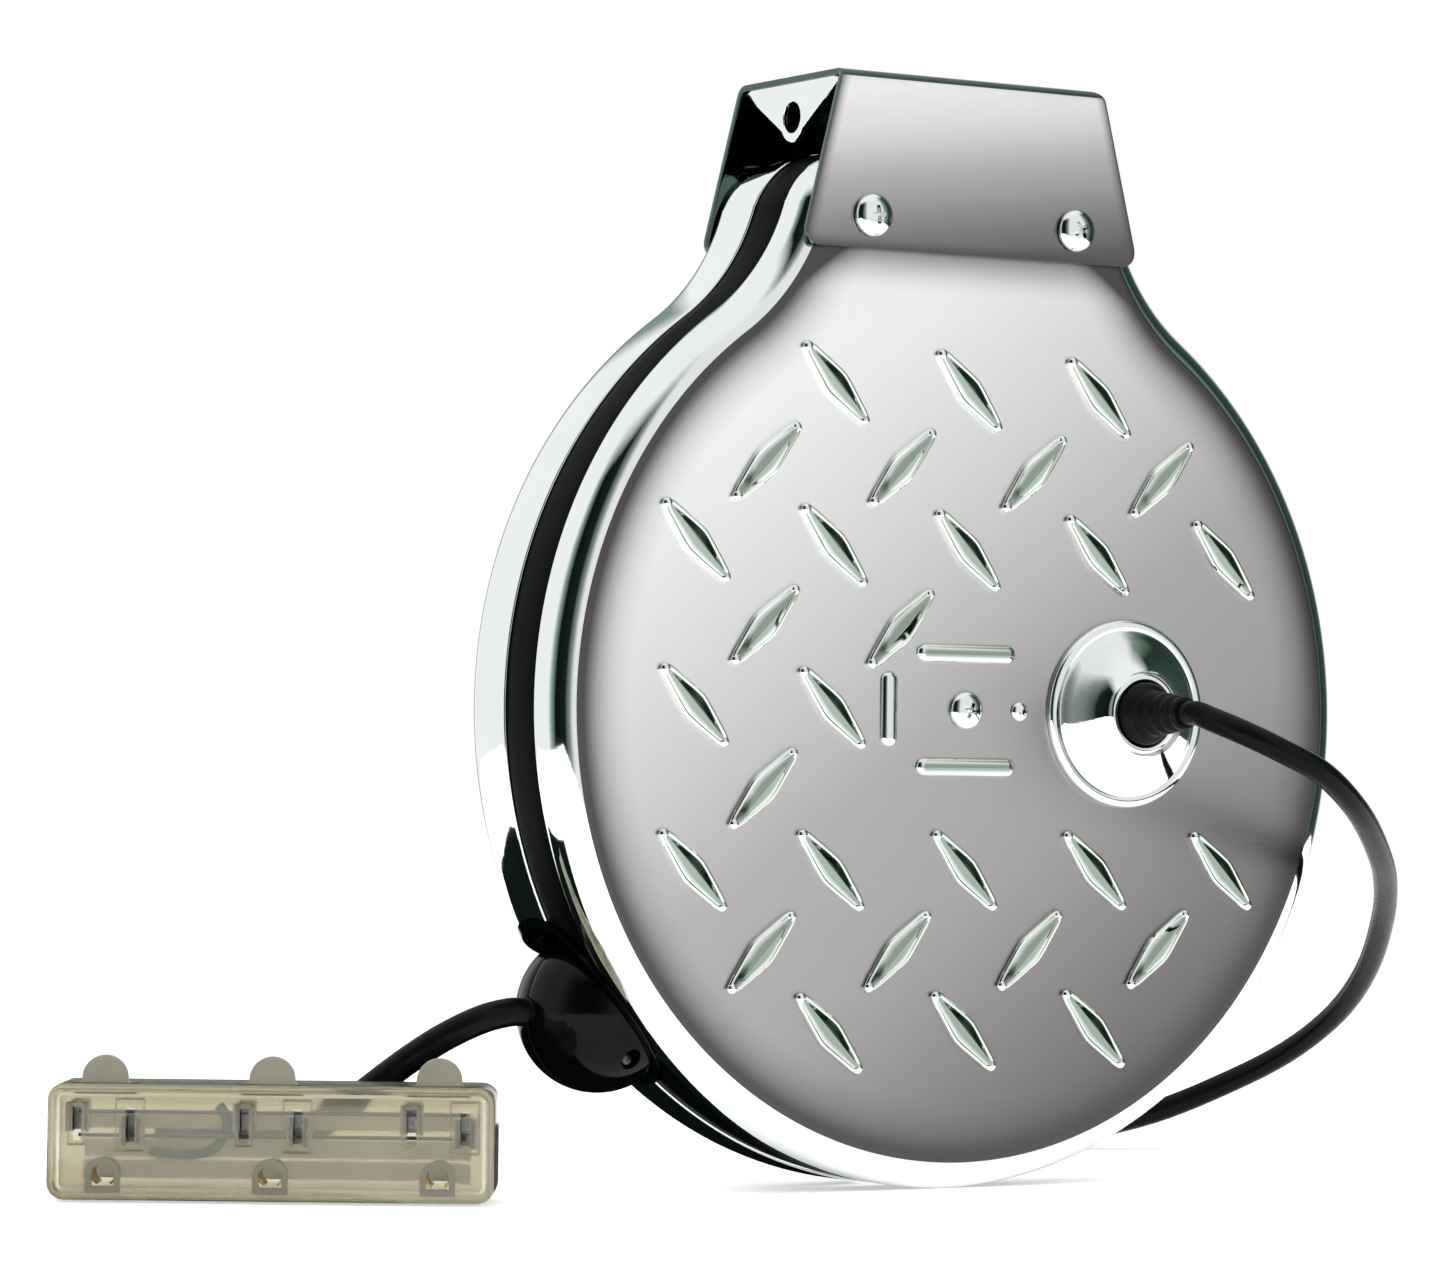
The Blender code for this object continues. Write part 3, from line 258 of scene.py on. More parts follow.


# chrome over satin-sanded steel: the shine is spread; painted shade makes the plate darker downwards and
# towards its edge, and a painted shadow can darken a band under the bracket
def satinPlate(name, look):
    finish, tree, shader, coords = startFinish(name)
    axes = addNode(tree, "ShaderNodeSeparateXYZ", {"Vector": coords})
    # painted shade: a colour ramp along the height, dark at the bottom and white at the top
    drift = addNode(tree, "ShaderNodeMath", {0: axes.outputs["X"], 1: look["lean"]}, operation="MULTIPLY")
    height = addNode(tree, "ShaderNodeMath", {0: axes.outputs["Z"], 1: drift.outputs[0]}, operation="ADD")
    share = addNode(tree, "ShaderNodeMapRange",
                    {"Value": height.outputs[0], "From Min": look["low"] * mm + axisZ,
                     "From Max": look["high"] * mm + axisZ})
    paintedFade = addNode(tree, "ShaderNodeValToRGB", {"Fac": share.outputs["Result"]},
                   stops=[(spot, linear(tone)) for spot, tone in look["paintedFade"]])
    # painted shade: the edge attribute mixes in the dark edge colour towards the plate's rim
    rim = addNode(tree, "ShaderNodeAttribute", attribute_name="nearRim")
    edge = rim.outputs["Fac"]
    # painted shadow: where given, a band just under the bracket is mixed to the same dark colour
    if "paintedShadow" in look:
        low, high = (height * mm + axisZ for height in look["paintedShadow"])
        shade = {"Value": axes.outputs["Z"], "From Min": low, "From Max": high,
                 "To Max": look["paintedShadowShare"]}
        paintedShadow = addNode(tree, "ShaderNodeMapRange", shade, interpolation_type="SMOOTHSTEP")
        both = addNode(tree, "ShaderNodeMath", {0: edge, 1: paintedShadow.outputs["Result"]},
                       operation="ADD", use_clamp=True)
        edge = both.outputs[0]
    tone = addNode(tree, "ShaderNodeMix", {0: edge, 6: paintedFade.outputs["Color"], 7: linear(look["edge"])},
                   data_type="RGBA")
    # sanding lines are 0.05 mm apart on the plate, drawn at 0.5 mm so that they show
    lines = addNode(tree, "ShaderNodeMapping", {"Vector": coords, "Scale": (0.05, 1, 1)})
    sanding = addNode(tree, "ShaderNodeTexNoise",
                      {"Vector": lines.outputs["Vector"], "Scale": 1 / (0.5 * mm), "Detail": 3.0})
    rough = addNode(tree, "ShaderNodeMapRange",
                    {"Value": sanding.outputs["Fac"], "From Min": 0.3, "From Max": 0.7,
                     "To Min": look["smooth"], "To Max": look["rough"]})
    bump = addNode(tree, "ShaderNodeBump", {"Height": sanding.outputs["Fac"],
                                            "Strength": 0.03, "Distance": 0.05 * mm})
    tree.links.new(tone.outputs[2], shader.inputs["Base Color"])
    tree.links.new(rough.outputs["Result"], shader.inputs["Roughness"])
    tree.links.new(bump.outputs["Normal"], shader.inputs["Normal"])
    shader.inputs["Metallic"].default_value = 1.0
    return finish


# the face: painted shade darker downwards and towards the rim, and a painted shadow under the bracket
satinFace = satinPlate("satinChromeFace", {
    "low": -125.0, "high": 112.0, "lean": -0.62, "edge": "#565453", "smooth": 0.3, "rough": 0.38,
    "paintedShadow": (103.0, 117.0), "paintedShadowShare": 0.85,
    "paintedFade": ((0.0, "#6E6C6B"), (0.16, "#8C8A89"), (0.33, "#A9A7A6"), (0.52, "#B7B5B4"),
             (0.8, "#E6E5E5"), (1.0, "#FFFFFF"))})
# the bracket: painted shade darker downwards and towards the sheet's edges
satinBracket = satinPlate("satinChromeBracket", {
    "low": 112.0, "high": 157.0, "lean": -0.12, "edge": "#5E5B59", "smooth": 0.3, "rough": 0.38,
    "paintedFade": ((0.0, "#6A6867"), (0.2, "#8D8B8A"), (0.5, "#BDBBBA"), (0.8, "#F0EFEF"), (1.0, "#FFFFFF"))})
# bright nickel-chrome plate: a mirror with faint waves in the sheet and hairline rubs
polishedChrome = mottledFinish("polishedChrome", {
    "tone": "#F2F5F4", "other": "#E3E8E6", "patch": 22.0, "grit": 6.0, "smooth": 0.03, "rough": 0.07,
    "bump": 0.015, "metal": 1.0})
# the plate on the pressed lugs: bright beads round a crest painted duller and greenish, a painted
# reflection
pressedChrome = mottledFinish("pressedChrome", {
    "tone": "#EEF1EF", "other": "#DEE3E0", "paintedCrestShade": "#93A196", "patch": 22.0, "grit": 6.0, "smooth": 0.04,
    "rough": 0.09, "bump": 0.01, "metal": 1.0})
# chrome in the bracket's shaded inside: painted shade makes it dark, and a painted reflection gives it a
# green cast
shadedChrome = mottledFinish("shadedChrome", {
    "tone": "#5C7066", "other": "#415249", "patch": 22.0, "grit": 6.0, "smooth": 0.05, "rough": 0.1,
    "bump": 0.01, "metal": 1.0})
# moulded ABS trim: deep black and almost dull, with a fine moulded grain
blackAbs = mottledFinish("blackAbs", {
    "tone": "#040505", "other": "#080909", "patch": 14.0, "grit": 0.8, "smooth": 0.34, "rough": 0.5,
    "bump": 0.08, "shader": {"Specular IOR Level": 0.02}})
# polished black ABS: deep black, sharp window highlights, a trace of flow marks
glossBlackAbs = mottledFinish("glossBlackAbs", {
    "tone": "#040505", "other": "#080A09", "patch": 18.0, "grit": 3.0, "smooth": 0.08, "rough": 0.16,
    "bump": 0.02, "shader": {"Specular IOR Level": 0.13}})
# soft PVC strain reliefs: black with a dull skin
softPvc = mottledFinish("softPvc", {
    "tone": "#070808", "other": "#0D0F0E", "patch": 7.0, "grit": 0.5, "smooth": 0.28, "rough": 0.46,
    "bump": 0.12, "shader": {"Specular IOR Level": 0.14}})
# black woven nylon tape of the cord tie
nylonTape = mottledFinish("nylonTape", {
    "tone": "#0D0E10", "other": "#1A1C1F", "patch": 1.2, "grit": 0.7, "smooth": 0.6,
    "rough": 0.85, "bump": 0.5})
# zinc-plated steel: grey, faintly blue, spangled
zincSteel = mottledFinish("zincPlatedSteel", {
    "tone": "#B9BDC2", "other": "#8F959B", "patch": 3.0, "grit": 0.7, "smooth": 0.25, "rough": 0.45,
    "bump": 0.05, "metal": 1.0})
# blued spring steel strip
springSteel = mottledFinish("bluedSpringSteel", {
    "tone": "#5D636B", "other": "#474C55", "patch": 6.0, "grit": 0.6, "smooth": 0.25, "rough": 0.4,
    "bump": 0.05, "metal": 1.0})
# stamped brass blades, slightly browned
stampedBrass = mottledFinish("stampedBrass", {
    "tone": "#D9B86A", "other": "#B08C45", "patch": 4.0, "grit": 0.6, "smooth": 0.2, "rough": 0.36,
    "bump": 0.05, "metal": 1.0})
# tinned brass bus bars and clips: pale grey metal
tinnedBrass = mottledFinish("tinnedBrass", {
    "tone": "#B7B9B6", "other": "#7D7F7B", "patch": 3.0, "grit": 0.6, "smooth": 0.22, "rough": 0.4,
    "bump": 0.06, "metal": 1.0})
# freshly tinned bars: almost white, dull
brightTin = mottledFinish("brightTin", {
    "tone": "#ECECE6", "other": "#D6D6CF", "patch": 3.0, "grit": 0.6, "smooth": 0.45, "rough": 0.6,
    "bump": 0.06, "metal": 1.0})
# bare copper slip rings with a worn track
slipCopper = mottledFinish("slipRingCopper", {
    "tone": "#D88A63", "other": "#A85E3E", "patch": 5.0, "grit": 0.5, "smooth": 0.18, "rough": 0.38,
    "bump": 0.05, "metal": 1.0})
# pressed carbon: dull and sooty
carbonBlock = mottledFinish("pressedCarbon", {
    "tone": "#1B1B1C", "other": "#2B2B2D", "patch": 1.5, "grit": 0.3, "smooth": 0.55,
    "rough": 0.8, "bump": 0.3})
# phenolic paper board: brown, with fibres
phenolicBoard = mottledFinish("phenolicBoard", {
    "tone": "#6B3F22", "other": "#52301A", "patch": 2.0, "grit": 0.4, "smooth": 0.4, "rough": 0.6,
    "bump": 0.1, "draw": (0.2, 1, 1)})
# green earth conductor inside the block
greenPvc = mottledFinish("greenPvc", {
    "tone": "#1F6B45", "other": "#2C8456", "patch": 4.0, "grit": 0.5, "smooth": 0.3,
    "rough": 0.45, "bump": 0.05})
# smoke-tinted polycarbonate, moulded: clear but hazy, with flow lines and a slightly frosted skin
smokyPolycarbonate = mottledFinish("smokyPolycarbonate", {
    "tone": "#DDD8C5", "other": "#CCC6AF", "patch": 26.0, "grit": 2.2, "smooth": 0.05, "rough": 0.17,
    "bump": 0.025, "draw": (0.3, 1, 1), "shader": {"Transmission Weight": 0.9, "IOR": 1.585}})
# the same plastic with a matt moulded skin: greyer, and light only glows through
frostedPolycarbonate = mottledFinish("frostedPolycarbonate", {
    "tone": "#A19D8C", "other": "#8F8B7A", "patch": 9.0, "grit": 0.7, "smooth": 0.42, "rough": 0.6,
    "bump": 0.06, "shader": {"Transmission Weight": 0.35, "IOR": 1.585}})
print("finishes mixed")


# skins a row of loops; a ring joins the last loop to the first, else both ends are capped
def loft(bm, loops, ring=False, shades=None):
    # the rows' shades go into an attribute of painted shade that the finishes read
    layer = bm.verts.layers.float.get("nearRim") or bm.verts.layers.float.new("nearRim")
    rows = [[bm.verts.new(spot) for spot in loop] for loop in loops]
    for row, shade in zip(rows, shades or []):
        for vert in row:
            vert[layer] = shade
    pairs = list(zip(rows, rows[1:]))
    if ring:
        pairs.append((rows[-1], rows[0]))
    else:
        bm.faces.new(rows[0])
        bm.faces.new(rows[-1])
    for near, far in pairs:
        for i in range(len(near)):
            j = (i + 1) % len(near)
            bm.faces.new((near[i], near[j], far[j], far[i]))
    return bm


# turns a profile of (radius, distance along the axis) about a line through spot
def lathe(bm, profile, spot, steps=72, along="Y", ring=False):
    loops = []
    for radius, far in profile:
        loop = []
        for i in range(steps):
            a, b = radius * math.cos(2 * math.pi * i / steps), radius * math.sin(2 * math.pi * i / steps)
            loop.append(Vector((a, far, b) if along == "Y" else (far, a, b)) + Vector(spot))
        loops.append(loop)
    return loft(bm, loops, ring)


def arc(middle, radius, start, end, steps):
    angles = [math.radians(start + (end - start) * i / steps) for i in range(steps + 1)]
    return [(middle[0] + radius * math.cos(a), middle[1] + radius * math.sin(a)) for a in angles]


def roundedBox(half, low, high, radius, steps=6):
    corners = ((half - radius, low + radius, -90), (half - radius, high - radius, 0),
               (radius - half, high - radius, 90), (radius - half, low + radius, 180))
    outline = []
    for x, z, start in corners:
        outline += arc((x, z), radius, start, start + 90, steps)
    return outline


# millimetres from the drum axis to metres in the frame
def toFrame(bm, place=None):
    place = place or Matrix.Translation(at(0, 0, 0)) @ Matrix.Scale(mm, 4)
    bmesh.ops.transform(bm, matrix=place, verts=bm.verts)
    return bm


def smoothOver(mesh, angle):
    mesh.shade_smooth()
    mesh.set_sharp_from_angle(angle=math.radians(angle))


def addObject(name, bm, finishes=(), angle=32):
    bmesh.ops.recalc_face_normals(bm, faces=bm.faces)
    mesh = bpy.data.meshes.new(name)
    bm.to_mesh(mesh)
    bm.free()
    for finish in finishes:
        mesh.materials.append(finish)
    smoothOver(mesh, angle)
    return intoScene(name, mesh)


# turns live modifiers into a plain mesh
def settle(obj):
    graph = bpy.context.evaluated_depsgraph_get()
    mesh = bpy.data.meshes.new_from_object(obj.evaluated_get(graph))
    obj.modifiers.clear()
    obj.data = mesh
    return obj


def carve(obj, bm, operation="DIFFERENCE", angle=32):
    cutter = addObject("cutter", bm)
    step = obj.modifiers.new("carve", "BOOLEAN")
    step.object = cutter
    step.operation = operation
    step.solver = "EXACT"
    settle(obj)
    bpy.data.objects.remove(cutter)
    smoothOver(obj.data, angle)
    return obj


def bevel(obj, width, segments=2, angle=40):
    step = obj.modifiers.new("bevel", "BEVEL")
    step.width = width * mm
    step.segments = segments
    step.limit_method = "ANGLE"
    step.angle_limit = math.radians(angle)
    step.harden_normals = False
    settle(obj)
    smoothOver(obj.data, 50)
    return obj


def seat(obj, body, slot, *stands):
    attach(obj, body)
    if stands:
        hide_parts(*stands)
    return obj


# copies one shape onto every point, turned and sized by the points' own attributes
def scatterTree():
    tree = bpy.data.node_groups.new("scatterOnPoints", "GeometryNodeTree")
    tree.is_modifier = True
    for name, kind in (("Geometry", "Geometry"), ("Shape", "Object"), ("Size", "Float"),
                       ("Finish", "Material")):
        tree.interface.new_socket(name, in_out="INPUT", socket_type="NodeSocket" + kind)
    tree.interface.new_socket("Geometry", in_out="OUTPUT", socket_type="NodeSocketGeometry")
    start = addNode(tree, "NodeGroupInput")
    shape = addNode(tree, "GeometryNodeObjectInfo", {"Object": start.outputs["Shape"]})
    turn = addNode(tree, "GeometryNodeInputNamedAttribute", {"Name": "turn"}, data_type="FLOAT_VECTOR")
    grow = addNode(tree, "GeometryNodeInputNamedAttribute", {"Name": "grow"}, data_type="FLOAT")
    spin = addNode(tree, "FunctionNodeEulerToRotation", {0: turn.outputs["Attribute"]})
    size = addNode(tree, "ShaderNodeMath", {0: grow.outputs["Attribute"], 1: start.outputs["Size"]},
                   operation="MULTIPLY")
    copies = addNode(tree, "GeometryNodeInstanceOnPoints",
                     {"Points": start.outputs["Geometry"], "Instance": shape.outputs["Geometry"],
                      "Rotation": spin.outputs[0], "Scale": size.outputs[0]})
    real = addNode(tree, "GeometryNodeRealizeInstances", {"Geometry": copies.outputs[0]})
    painted = addNode(tree, "GeometryNodeSetMaterial",
                      {"Geometry": real.outputs[0], "Material": start.outputs["Finish"]})
    addNode(tree, "NodeGroupOutput", {"Geometry": painted.outputs[0]})
    return tree


scatterNodes = scatterTree()


# spots are (place, turn about X Y Z, size); the shape is used up
def scatter(name, shape, spots, finish, size=1.0):
    mesh = bpy.data.meshes.new(name)
    mesh.from_pydata([spot[0] for spot in spots], [], [])
    mesh.attributes.new("turn", "FLOAT_VECTOR", "POINT")
    mesh.attributes.new("grow", "FLOAT", "POINT")
    for i, (place, turn, grow) in enumerate(spots):
        mesh.attributes["turn"].data[i].vector = turn
        mesh.attributes["grow"].data[i].value = grow
    obj = intoScene(name, mesh)
    step = obj.modifiers.new("scatter", "NODES")
    step.node_group = scatterNodes
    given = {"Shape": shape, "Size": size, "Finish": finish}
    for item in scatterNodes.interface.items_tree:
        if item.in_out == "INPUT" and item.name in given:
            step[item.identifier] = given[item.name]
    settle(obj)
    bpy.data.objects.remove(shape)
    return obj


housing = {"faceR": 110.8, "edgeR": 8.7, "depth": 44.4, "sheet": 1.2, "lipLand": 0.5, "lipRound": 0.5,
           "bandWidth": 14.1, "bandWall": 3.0, "bandCrown": 0.5, "gap": 0.3, "neckLean": 16.35,
           "neckHalf": 38.8, "neckRise": 20.2, "neckFillet": 62.0, "neckCorner": 14.0, "discSteps": 90,
           "bendSteps": 14, "insets": ((-13.0, 0.0), (-10.5, 0.07), (-8.0, 0.18), (-5.5, 0.36),
                                       (-3.5, 0.58), (-1.5, 0.84)), "polishFrom": 2}
faceY = housing["depth"] / 2
neckTop = housing["faceR"] + housing["neckRise"]


# outline of the housing, moved outwards by a distance: disc, neck fillets, rounded neck
def keyhole(out):
    lean = math.radians(housing["neckLean"])
    corner, fillet = housing["neckCorner"], housing["neckFillet"]
    offset = housing["neckHalf"] * math.cos(lean) + neckTop * math.sin(lean)
    reach = housing["faceR"] + fillet
    turn = lean + math.acos((offset + fillet) / reach)
    hollow = (reach * math.cos(turn), reach * math.sin(turn))
    top = (offset - corner - (neckTop - corner) * math.sin(lean)) / math.cos(lean)
    degrees = math.degrees(turn)
    half = arc((0, 0), housing["faceR"] + out, -90, degrees, housing["discSteps"])
    half += arc(hollow, fillet - out, degrees + 180, housing["neckLean"] + 180, 18)[1:]
    half += arc((top, neckTop - corner), corner + out, housing["neckLean"], 90, 12)
    return half + [(-x, z) for x, z in reversed(half[1:])]


ballStop = {"r": 20.0, "out": 5.65, "y": 6.5, "cupWall": 2.4, "cupEdge": 2.0, "bore": 3.8, "z": -75.1,
            "screwR": 1.6, "screwZ": 11.0, "lip": 0.5, "seam": 0.15, "seamCut": 0.5, "seamRound": 0.12,
            "well": 0.9, "wellFloor": 0.55, "leadSlack": 0.9, "screwLean": 0.3, "screwShank": 0.8}
ballStop["x"] = -math.sqrt((housing["faceR"] + ballStop["out"]) ** 2 - ballStop["z"] ** 2)
ballSpot = (ballStop["x"], ballStop["y"], ballStop["z"])


# the ball stop's way out through the rim
def mouthCut():
    radius = ballStop["r"] + ballStop["cupWall"] + 2 * housing["gap"]
    profile = [(0.05, -3 * ballStop["r"]), (radius, -3 * ballStop["r"])]
    profile += [(max(r, 0.05), x) for r, x in arc((0, 0), radius, 0, 90, 16)]
    return toFrame(lathe(bmesh.new(), profile, ballSpot, along="X"))


def buildShell(name, side, lip, node):
    edge, sheet, land = housing["edgeR"], housing["sheet"], housing["lipRound"]
    # painted shade: the inset loops darken the face towards its rim; the rim loops carry the full share
    stations = [(out, faceY, shade) for out, shade in housing["insets"]]
    bendAngles = [90 * i / housing["bendSteps"] for i in range(housing["bendSteps"] + 1)]
    for degrees in bendAngles:
        angle = math.radians(degrees)
        stations.append((edge * math.sin(angle), faceY - edge * (1 - math.cos(angle)), 1.0))
    lipY = lip * side
    for degrees in (0, 30, 60, 90):
        angle = math.radians(degrees)
        stations.append((edge - land * (1 - math.cos(angle)), lipY + land * (1 - math.sin(angle)), 1.0))
    stations.append((edge - sheet, lipY, 1.0))
    for degrees in reversed(bendAngles):
        angle = math.radians(degrees)
        inner = edge - sheet
        stations.append((inner * math.sin(angle), faceY - edge + inner * math.cos(angle), 1.0))
    loops = [[(x, y * side, z) for x, z in keyhole(out)] for out, y, shade in stations]
    bm = loft(bmesh.new(), loops, shades=[shade for out, y, shade in stations])
    polished = faceY - edge * (1 - math.cos(math.radians(bendAngles[housing["polishFrom"]])))
    for face in bm.faces:
        middle = face.calc_center_median().y * side
        face.material_index = 0 if middle > polished else 1
    shell = addObject(name, toFrame(bm), (satinFace, polishedChrome))
    carve(shell, mouthCut())
    return seat(shell, "housing", "chrome", node)


frontLip = housing["edgeR"] + housing["lipLand"] - faceY
rearLip = frontLip + housing["bandWidth"]
buildShell("frontShell", -1, frontLip, "front_shell")
buildShell("rearShell", 1, rearLip, "rear_shell")


def buildBand():
    low, high = frontLip + housing["gap"], rearLip - housing["gap"]
    outer, inner = housing["edgeR"] - housing["gap"], housing["edgeR"] - housing["bandWall"]
    crown = housing["bandCrown"]
    middle = (low + high) / 2
    half = (high - low) / 2
    stations = [(inner, low)]
    for i in range(-6, 7):
        stations.append((outer - crown * abs(i / 6) ** 3, middle + half * i / 6))
    stations.append((inner, high))
    loops = [[(x, y, z) for x, z in keyhole(out)] for out, y in stations]
    band = addObject("rimBand", toFrame(loft(bmesh.new(), loops, ring=True)), (blackAbs,))
    carve(band, mouthCut())
    seat(band, "housing", "black", "rim_band")


buildBand()
print("housing pressed")

lug = {"length": 27.5, "width": 8.0, "rise": 2.2, "tip": 1.6, "lean": 46.0, "pitch": 40.0, "reach": 2.3,
       "steps": 14, "sideSteps": 8, "ridge": 0.05, "roof": (1.25, 1.2),
       "slope": ((0.5, 0.5), (0.93, 0.93), (1.0, 0.97)), "hip": 0.12, "soft": 0.012, "crown": 0.11,
       "least": 0.06, "knob": 1.6, "knobFlat": 0.9, "knobLift": 0.35,
       "flank": ((0.0, -0.3), (0.02, 0.4), (0.1, 0.8), (0.28, 1.12), (0.55, 1.32), (0.85, 1.38),
                 (1.12, 1.3), (1.25, 1.2))}
bar = {"length": 29.8, "width": 4.9, "rise": 1.6, "z": 14.2, "sideLength": 19.1, "sideX": -23.1,
       "turns": (-12, 0, 20, 40, 60, 76, 88), "paintedCrestFrom": 70}


# half of a long diamond with round tips, drawn in by an inset
def lugOutline(inset):
    half, wide, tip = lug["length"] / 2, lug["width"] / 2, lug["tip"]
    along = half - tip
    slope = math.degrees(math.atan2(wide - tip, along))
    tips = arc((along, 0), tip - min(inset, tip * 0.9), -90 + slope, 90 - slope, lug["steps"])
    sideX = [along * (1 - i / lug["sideSteps"]) for i in range(1, lug["sideSteps"] + 1)]
    upper = list(tips)
    for x in sideX:
        fall = math.sqrt((x / along) ** 2 + lug["soft"]) - lug["crown"]
        upper.append((x, max(wide - inset - (wide - tip) * fall, lug["least"])))
    right = [(x, z) for x, z in upper if z >= 0]
    right.sort(key=lambda spot: -spot[0])
    topHalf = right + [(-x, z) for x, z in reversed(right[:-1])]
    return topHalf + [(x, -z) for x, z in reversed(topHalf)]


def lugShape(side):
    loops = []
    for inset, rise in lug["flank"]:
        loops.append([(x, side * rise, z) for x, z in lugOutline(inset)])
    inset, eaves = lug["roof"]
    for share, climb in lug["slope"]:
        top = eaves + (lug["rise"] - eaves) * climb
        short, narrow = 1 - lug["hip"] * share, 1 - (1 - lug["ridge"]) * share
        loops.append([(x * short, side * top, z * narrow) for x, z in lugOutline(inset)])
    # the roof loops carry the painted crest reflection, the flanks none
    bm = loft(bmesh.new(), loops, shades=[0] * len(lug["flank"]) + [1] * len(lug["slope"]))
    for x in (-1, 1):
        dome = arc((0, 0), lug["knob"], -20, 84, 10)
        knob = [(r, side * (y * lug["knobFlat"] + lug["knobLift"])) for r, y in dome]
        lathe(bm, knob, (x * (lug["length"] / 2 - lug["tip"]), 0, 0), 20)
    bmesh.ops.scale(bm, vec=(mm, mm, mm), verts=bm.verts)
    return addObject("lugShape", bm, angle=24)


def treadSpots(side):
    spots = []
    for twice in range(-4, 5):
        row = twice / 2
        turn = lug["lean"] if row % 1 else -lug["lean"]
        for step in range(-2, 3):
            column = step + row % 1
            byFittings = abs(row) < 1 and column > row - 1
            if math.hypot(row, column) < lug["reach"] and not byFittings:
                place = at(column * lug["pitch"], side * faceY, row * lug["pitch"])
                spots.append((place, (0, -math.radians(turn), 0), 1.0))
    return spots


for side, name in ((-1, "frontLugs"), (1, "rearLugs")):
    seat(scatter(name, lugShape(side), treadSpots(side), pressedChrome), "housing", "chrome")


# pressed bars: round-ended rods half sunk in the sheet
def barShape(length, paintedCrestShade):
    wide = bar["width"] / 2
    loops = []
    for degrees in bar["turns"]:
        angle = math.radians(degrees)
        radius = wide * math.cos(angle)
        right = arc((length / 2 - wide, 0), radius, -90, 90, 14)
        outline = right + [(-x, -z) for x, z in right]
        loops.append([(x, -bar["rise"] * math.sin(angle), z) for x, z in outline])
    # loops near the top of the bar carry the painted crest reflection
    bm = loft(bmesh.new(), loops, shades=[paintedCrestShade if degrees > bar["paintedCrestFrom"] else 0
                                          for degrees in bar["turns"]])
    bmesh.ops.scale(bm, vec=(mm, mm, mm), verts=bm.verts)
    return addObject("barShape", bm, angle=40)


rods = [(at(0, -faceY, bar["z"]), (0, 0, 0), 1.0), (at(0, -faceY, -bar["z"]), (0, 0, 0), 1.0)]
seat(scatter("pressedBars", barShape(bar["length"], 1), rods, pressedChrome), "housing", "chrome")
sideRod = [(at(bar["sideX"], -faceY, 0), (0, math.pi / 2, 0), 1.0)]
seat(scatter("pressedSideBar", barShape(bar["sideLength"], 0), sideRod, pressedChrome), "housing", "chrome")
print("tread pressed")

screws = {"rise": 0.56, "shank": 0.45, "shankLength": 1.9, "recess": 0.58, "recessWidth": 0.27,
          "recessDepth": 0.42, "bracketX": 30.8, "bracketZ": 122.0, "bracketY": 24.4, "bracketR": 5.5,
          "boltR": 4.9, "contactR": 2.5, "contactX": 16.4, "brim": 0.06, "taper": 0.55, "proud": 0.1,
          "lean": 25, "boltLean": 0.4, "contactLean": 0.9}


# domed head of radius 1 towards -Y, with a cross recess
def screwShape(shank, shankLength):
    rise, brim = screws["rise"], screws["brim"]
    profile = [(shank, shankLength), (shank, 0), (1 - brim / 2, 0), (1.0, -brim)]
    profile += [(max(r, 0.02), -brim - y * (rise - brim)) for r, y in arc((0, 0), 1.0, 8, 90, 12)]
    head = addObject("screwShape", lathe(bmesh.new(), profile, (0, 0, 0), 48))
    long, wide = screws["recess"], screws["recessWidth"] / 2
    for lengths in ((long, wide), (wide, long)):
        cut = bmesh.new()
        loops = []
        for share, y in ((screws["taper"], screws["recessDepth"] - rise), (1.0, -2 * rise)):
            a, b = lengths[0] * share, lengths[1] * share
            loops.append([(x, y, z) for x, z in ((a, b), (-a, b), (-a, -b), (a, -b))])
        carve(head, loft(cut, loops))
    return head


def screwSpots():
    spots = []
    for side in (-1, 1):
        facing = 0 if side < 0 else math.pi
        for x in (-screws["bracketX"], screws["bracketX"]):
            lean = math.radians(screws["lean"] + x)
            place = at(x, side * screws["bracketY"], screws["bracketZ"])
            spots.append((place, (0, lean, facing), screws["bracketR"] * mm))
        place = at(0, side * (faceY + screws["proud"]), 0)
        spots.append((place, (0, screws["boltLean"], facing), screws["boltR"] * mm))
    place = at(screws["contactX"], -faceY - screws["proud"], 0)
    spots.append((place, (0, screws["contactLean"], 0), screws["contactR"] * mm))
    return spots


heads = scatter("chromeScrews", screwShape(screws["shank"], screws["shankLength"]),
                screwSpots(), polishedChrome)
seat(heads, "housing", "chrome", "bracket_screw_front_left", "bracket_screw_front_right",
     "bracket_screw_rear_left", "bracket_screw_rear_right", "axle_bolt_front",
     "axle_bolt_rear", "contact_screw")
print("screws driven")

bracket = {"top": 158.2, "bottom": 113.8, "topHalf": 39.6, "bottomHalf": 50.9, "sheet": 1.6, "inY": 22.5,
           "bend": 2.6, "corner": 5.0, "tabDrop": 16.5, "tabTip": 5.0, "tabHoleR": 3.9, "tabHoleDrop": 10.2,
           "topHoleX": 22.0, "topHoleR": 3.6, "edge": 0.3, "border": (0.0, 0.8, 1.8, 3.2), "topCorner": 3.0,
           "paintedEdgeFall": 1.5, "tabInset": 0.6, "tabSeat": 0.3, "tabShoulder": (1.0, 1.2),
           "tabSweep": (205, 335), "skin": 0.1, "holeCut": 5.0}


def bracketHalf(z):
    share = (bracket["top"] - z) / (bracket["top"] - bracket["bottom"])
    half = bracket["topHalf"] + (bracket["bottomHalf"] - bracket["topHalf"]) * share
    over = bracket["corner"] - (z - bracket["bottom"])
    if over > 0:
        half -= bracket["corner"] - math.sqrt(max(bracket["corner"] ** 2 - over ** 2, 0))
    return half


# the right-hand end is rounded at the top as well
def bracketRight(z):
    over = max(z - bracket["top"] + bracket["topCorner"], 0)
    return bracketHalf(z) - bracket["topCorner"] + math.sqrt(max(bracket["topCorner"] ** 2 - over ** 2, 0))


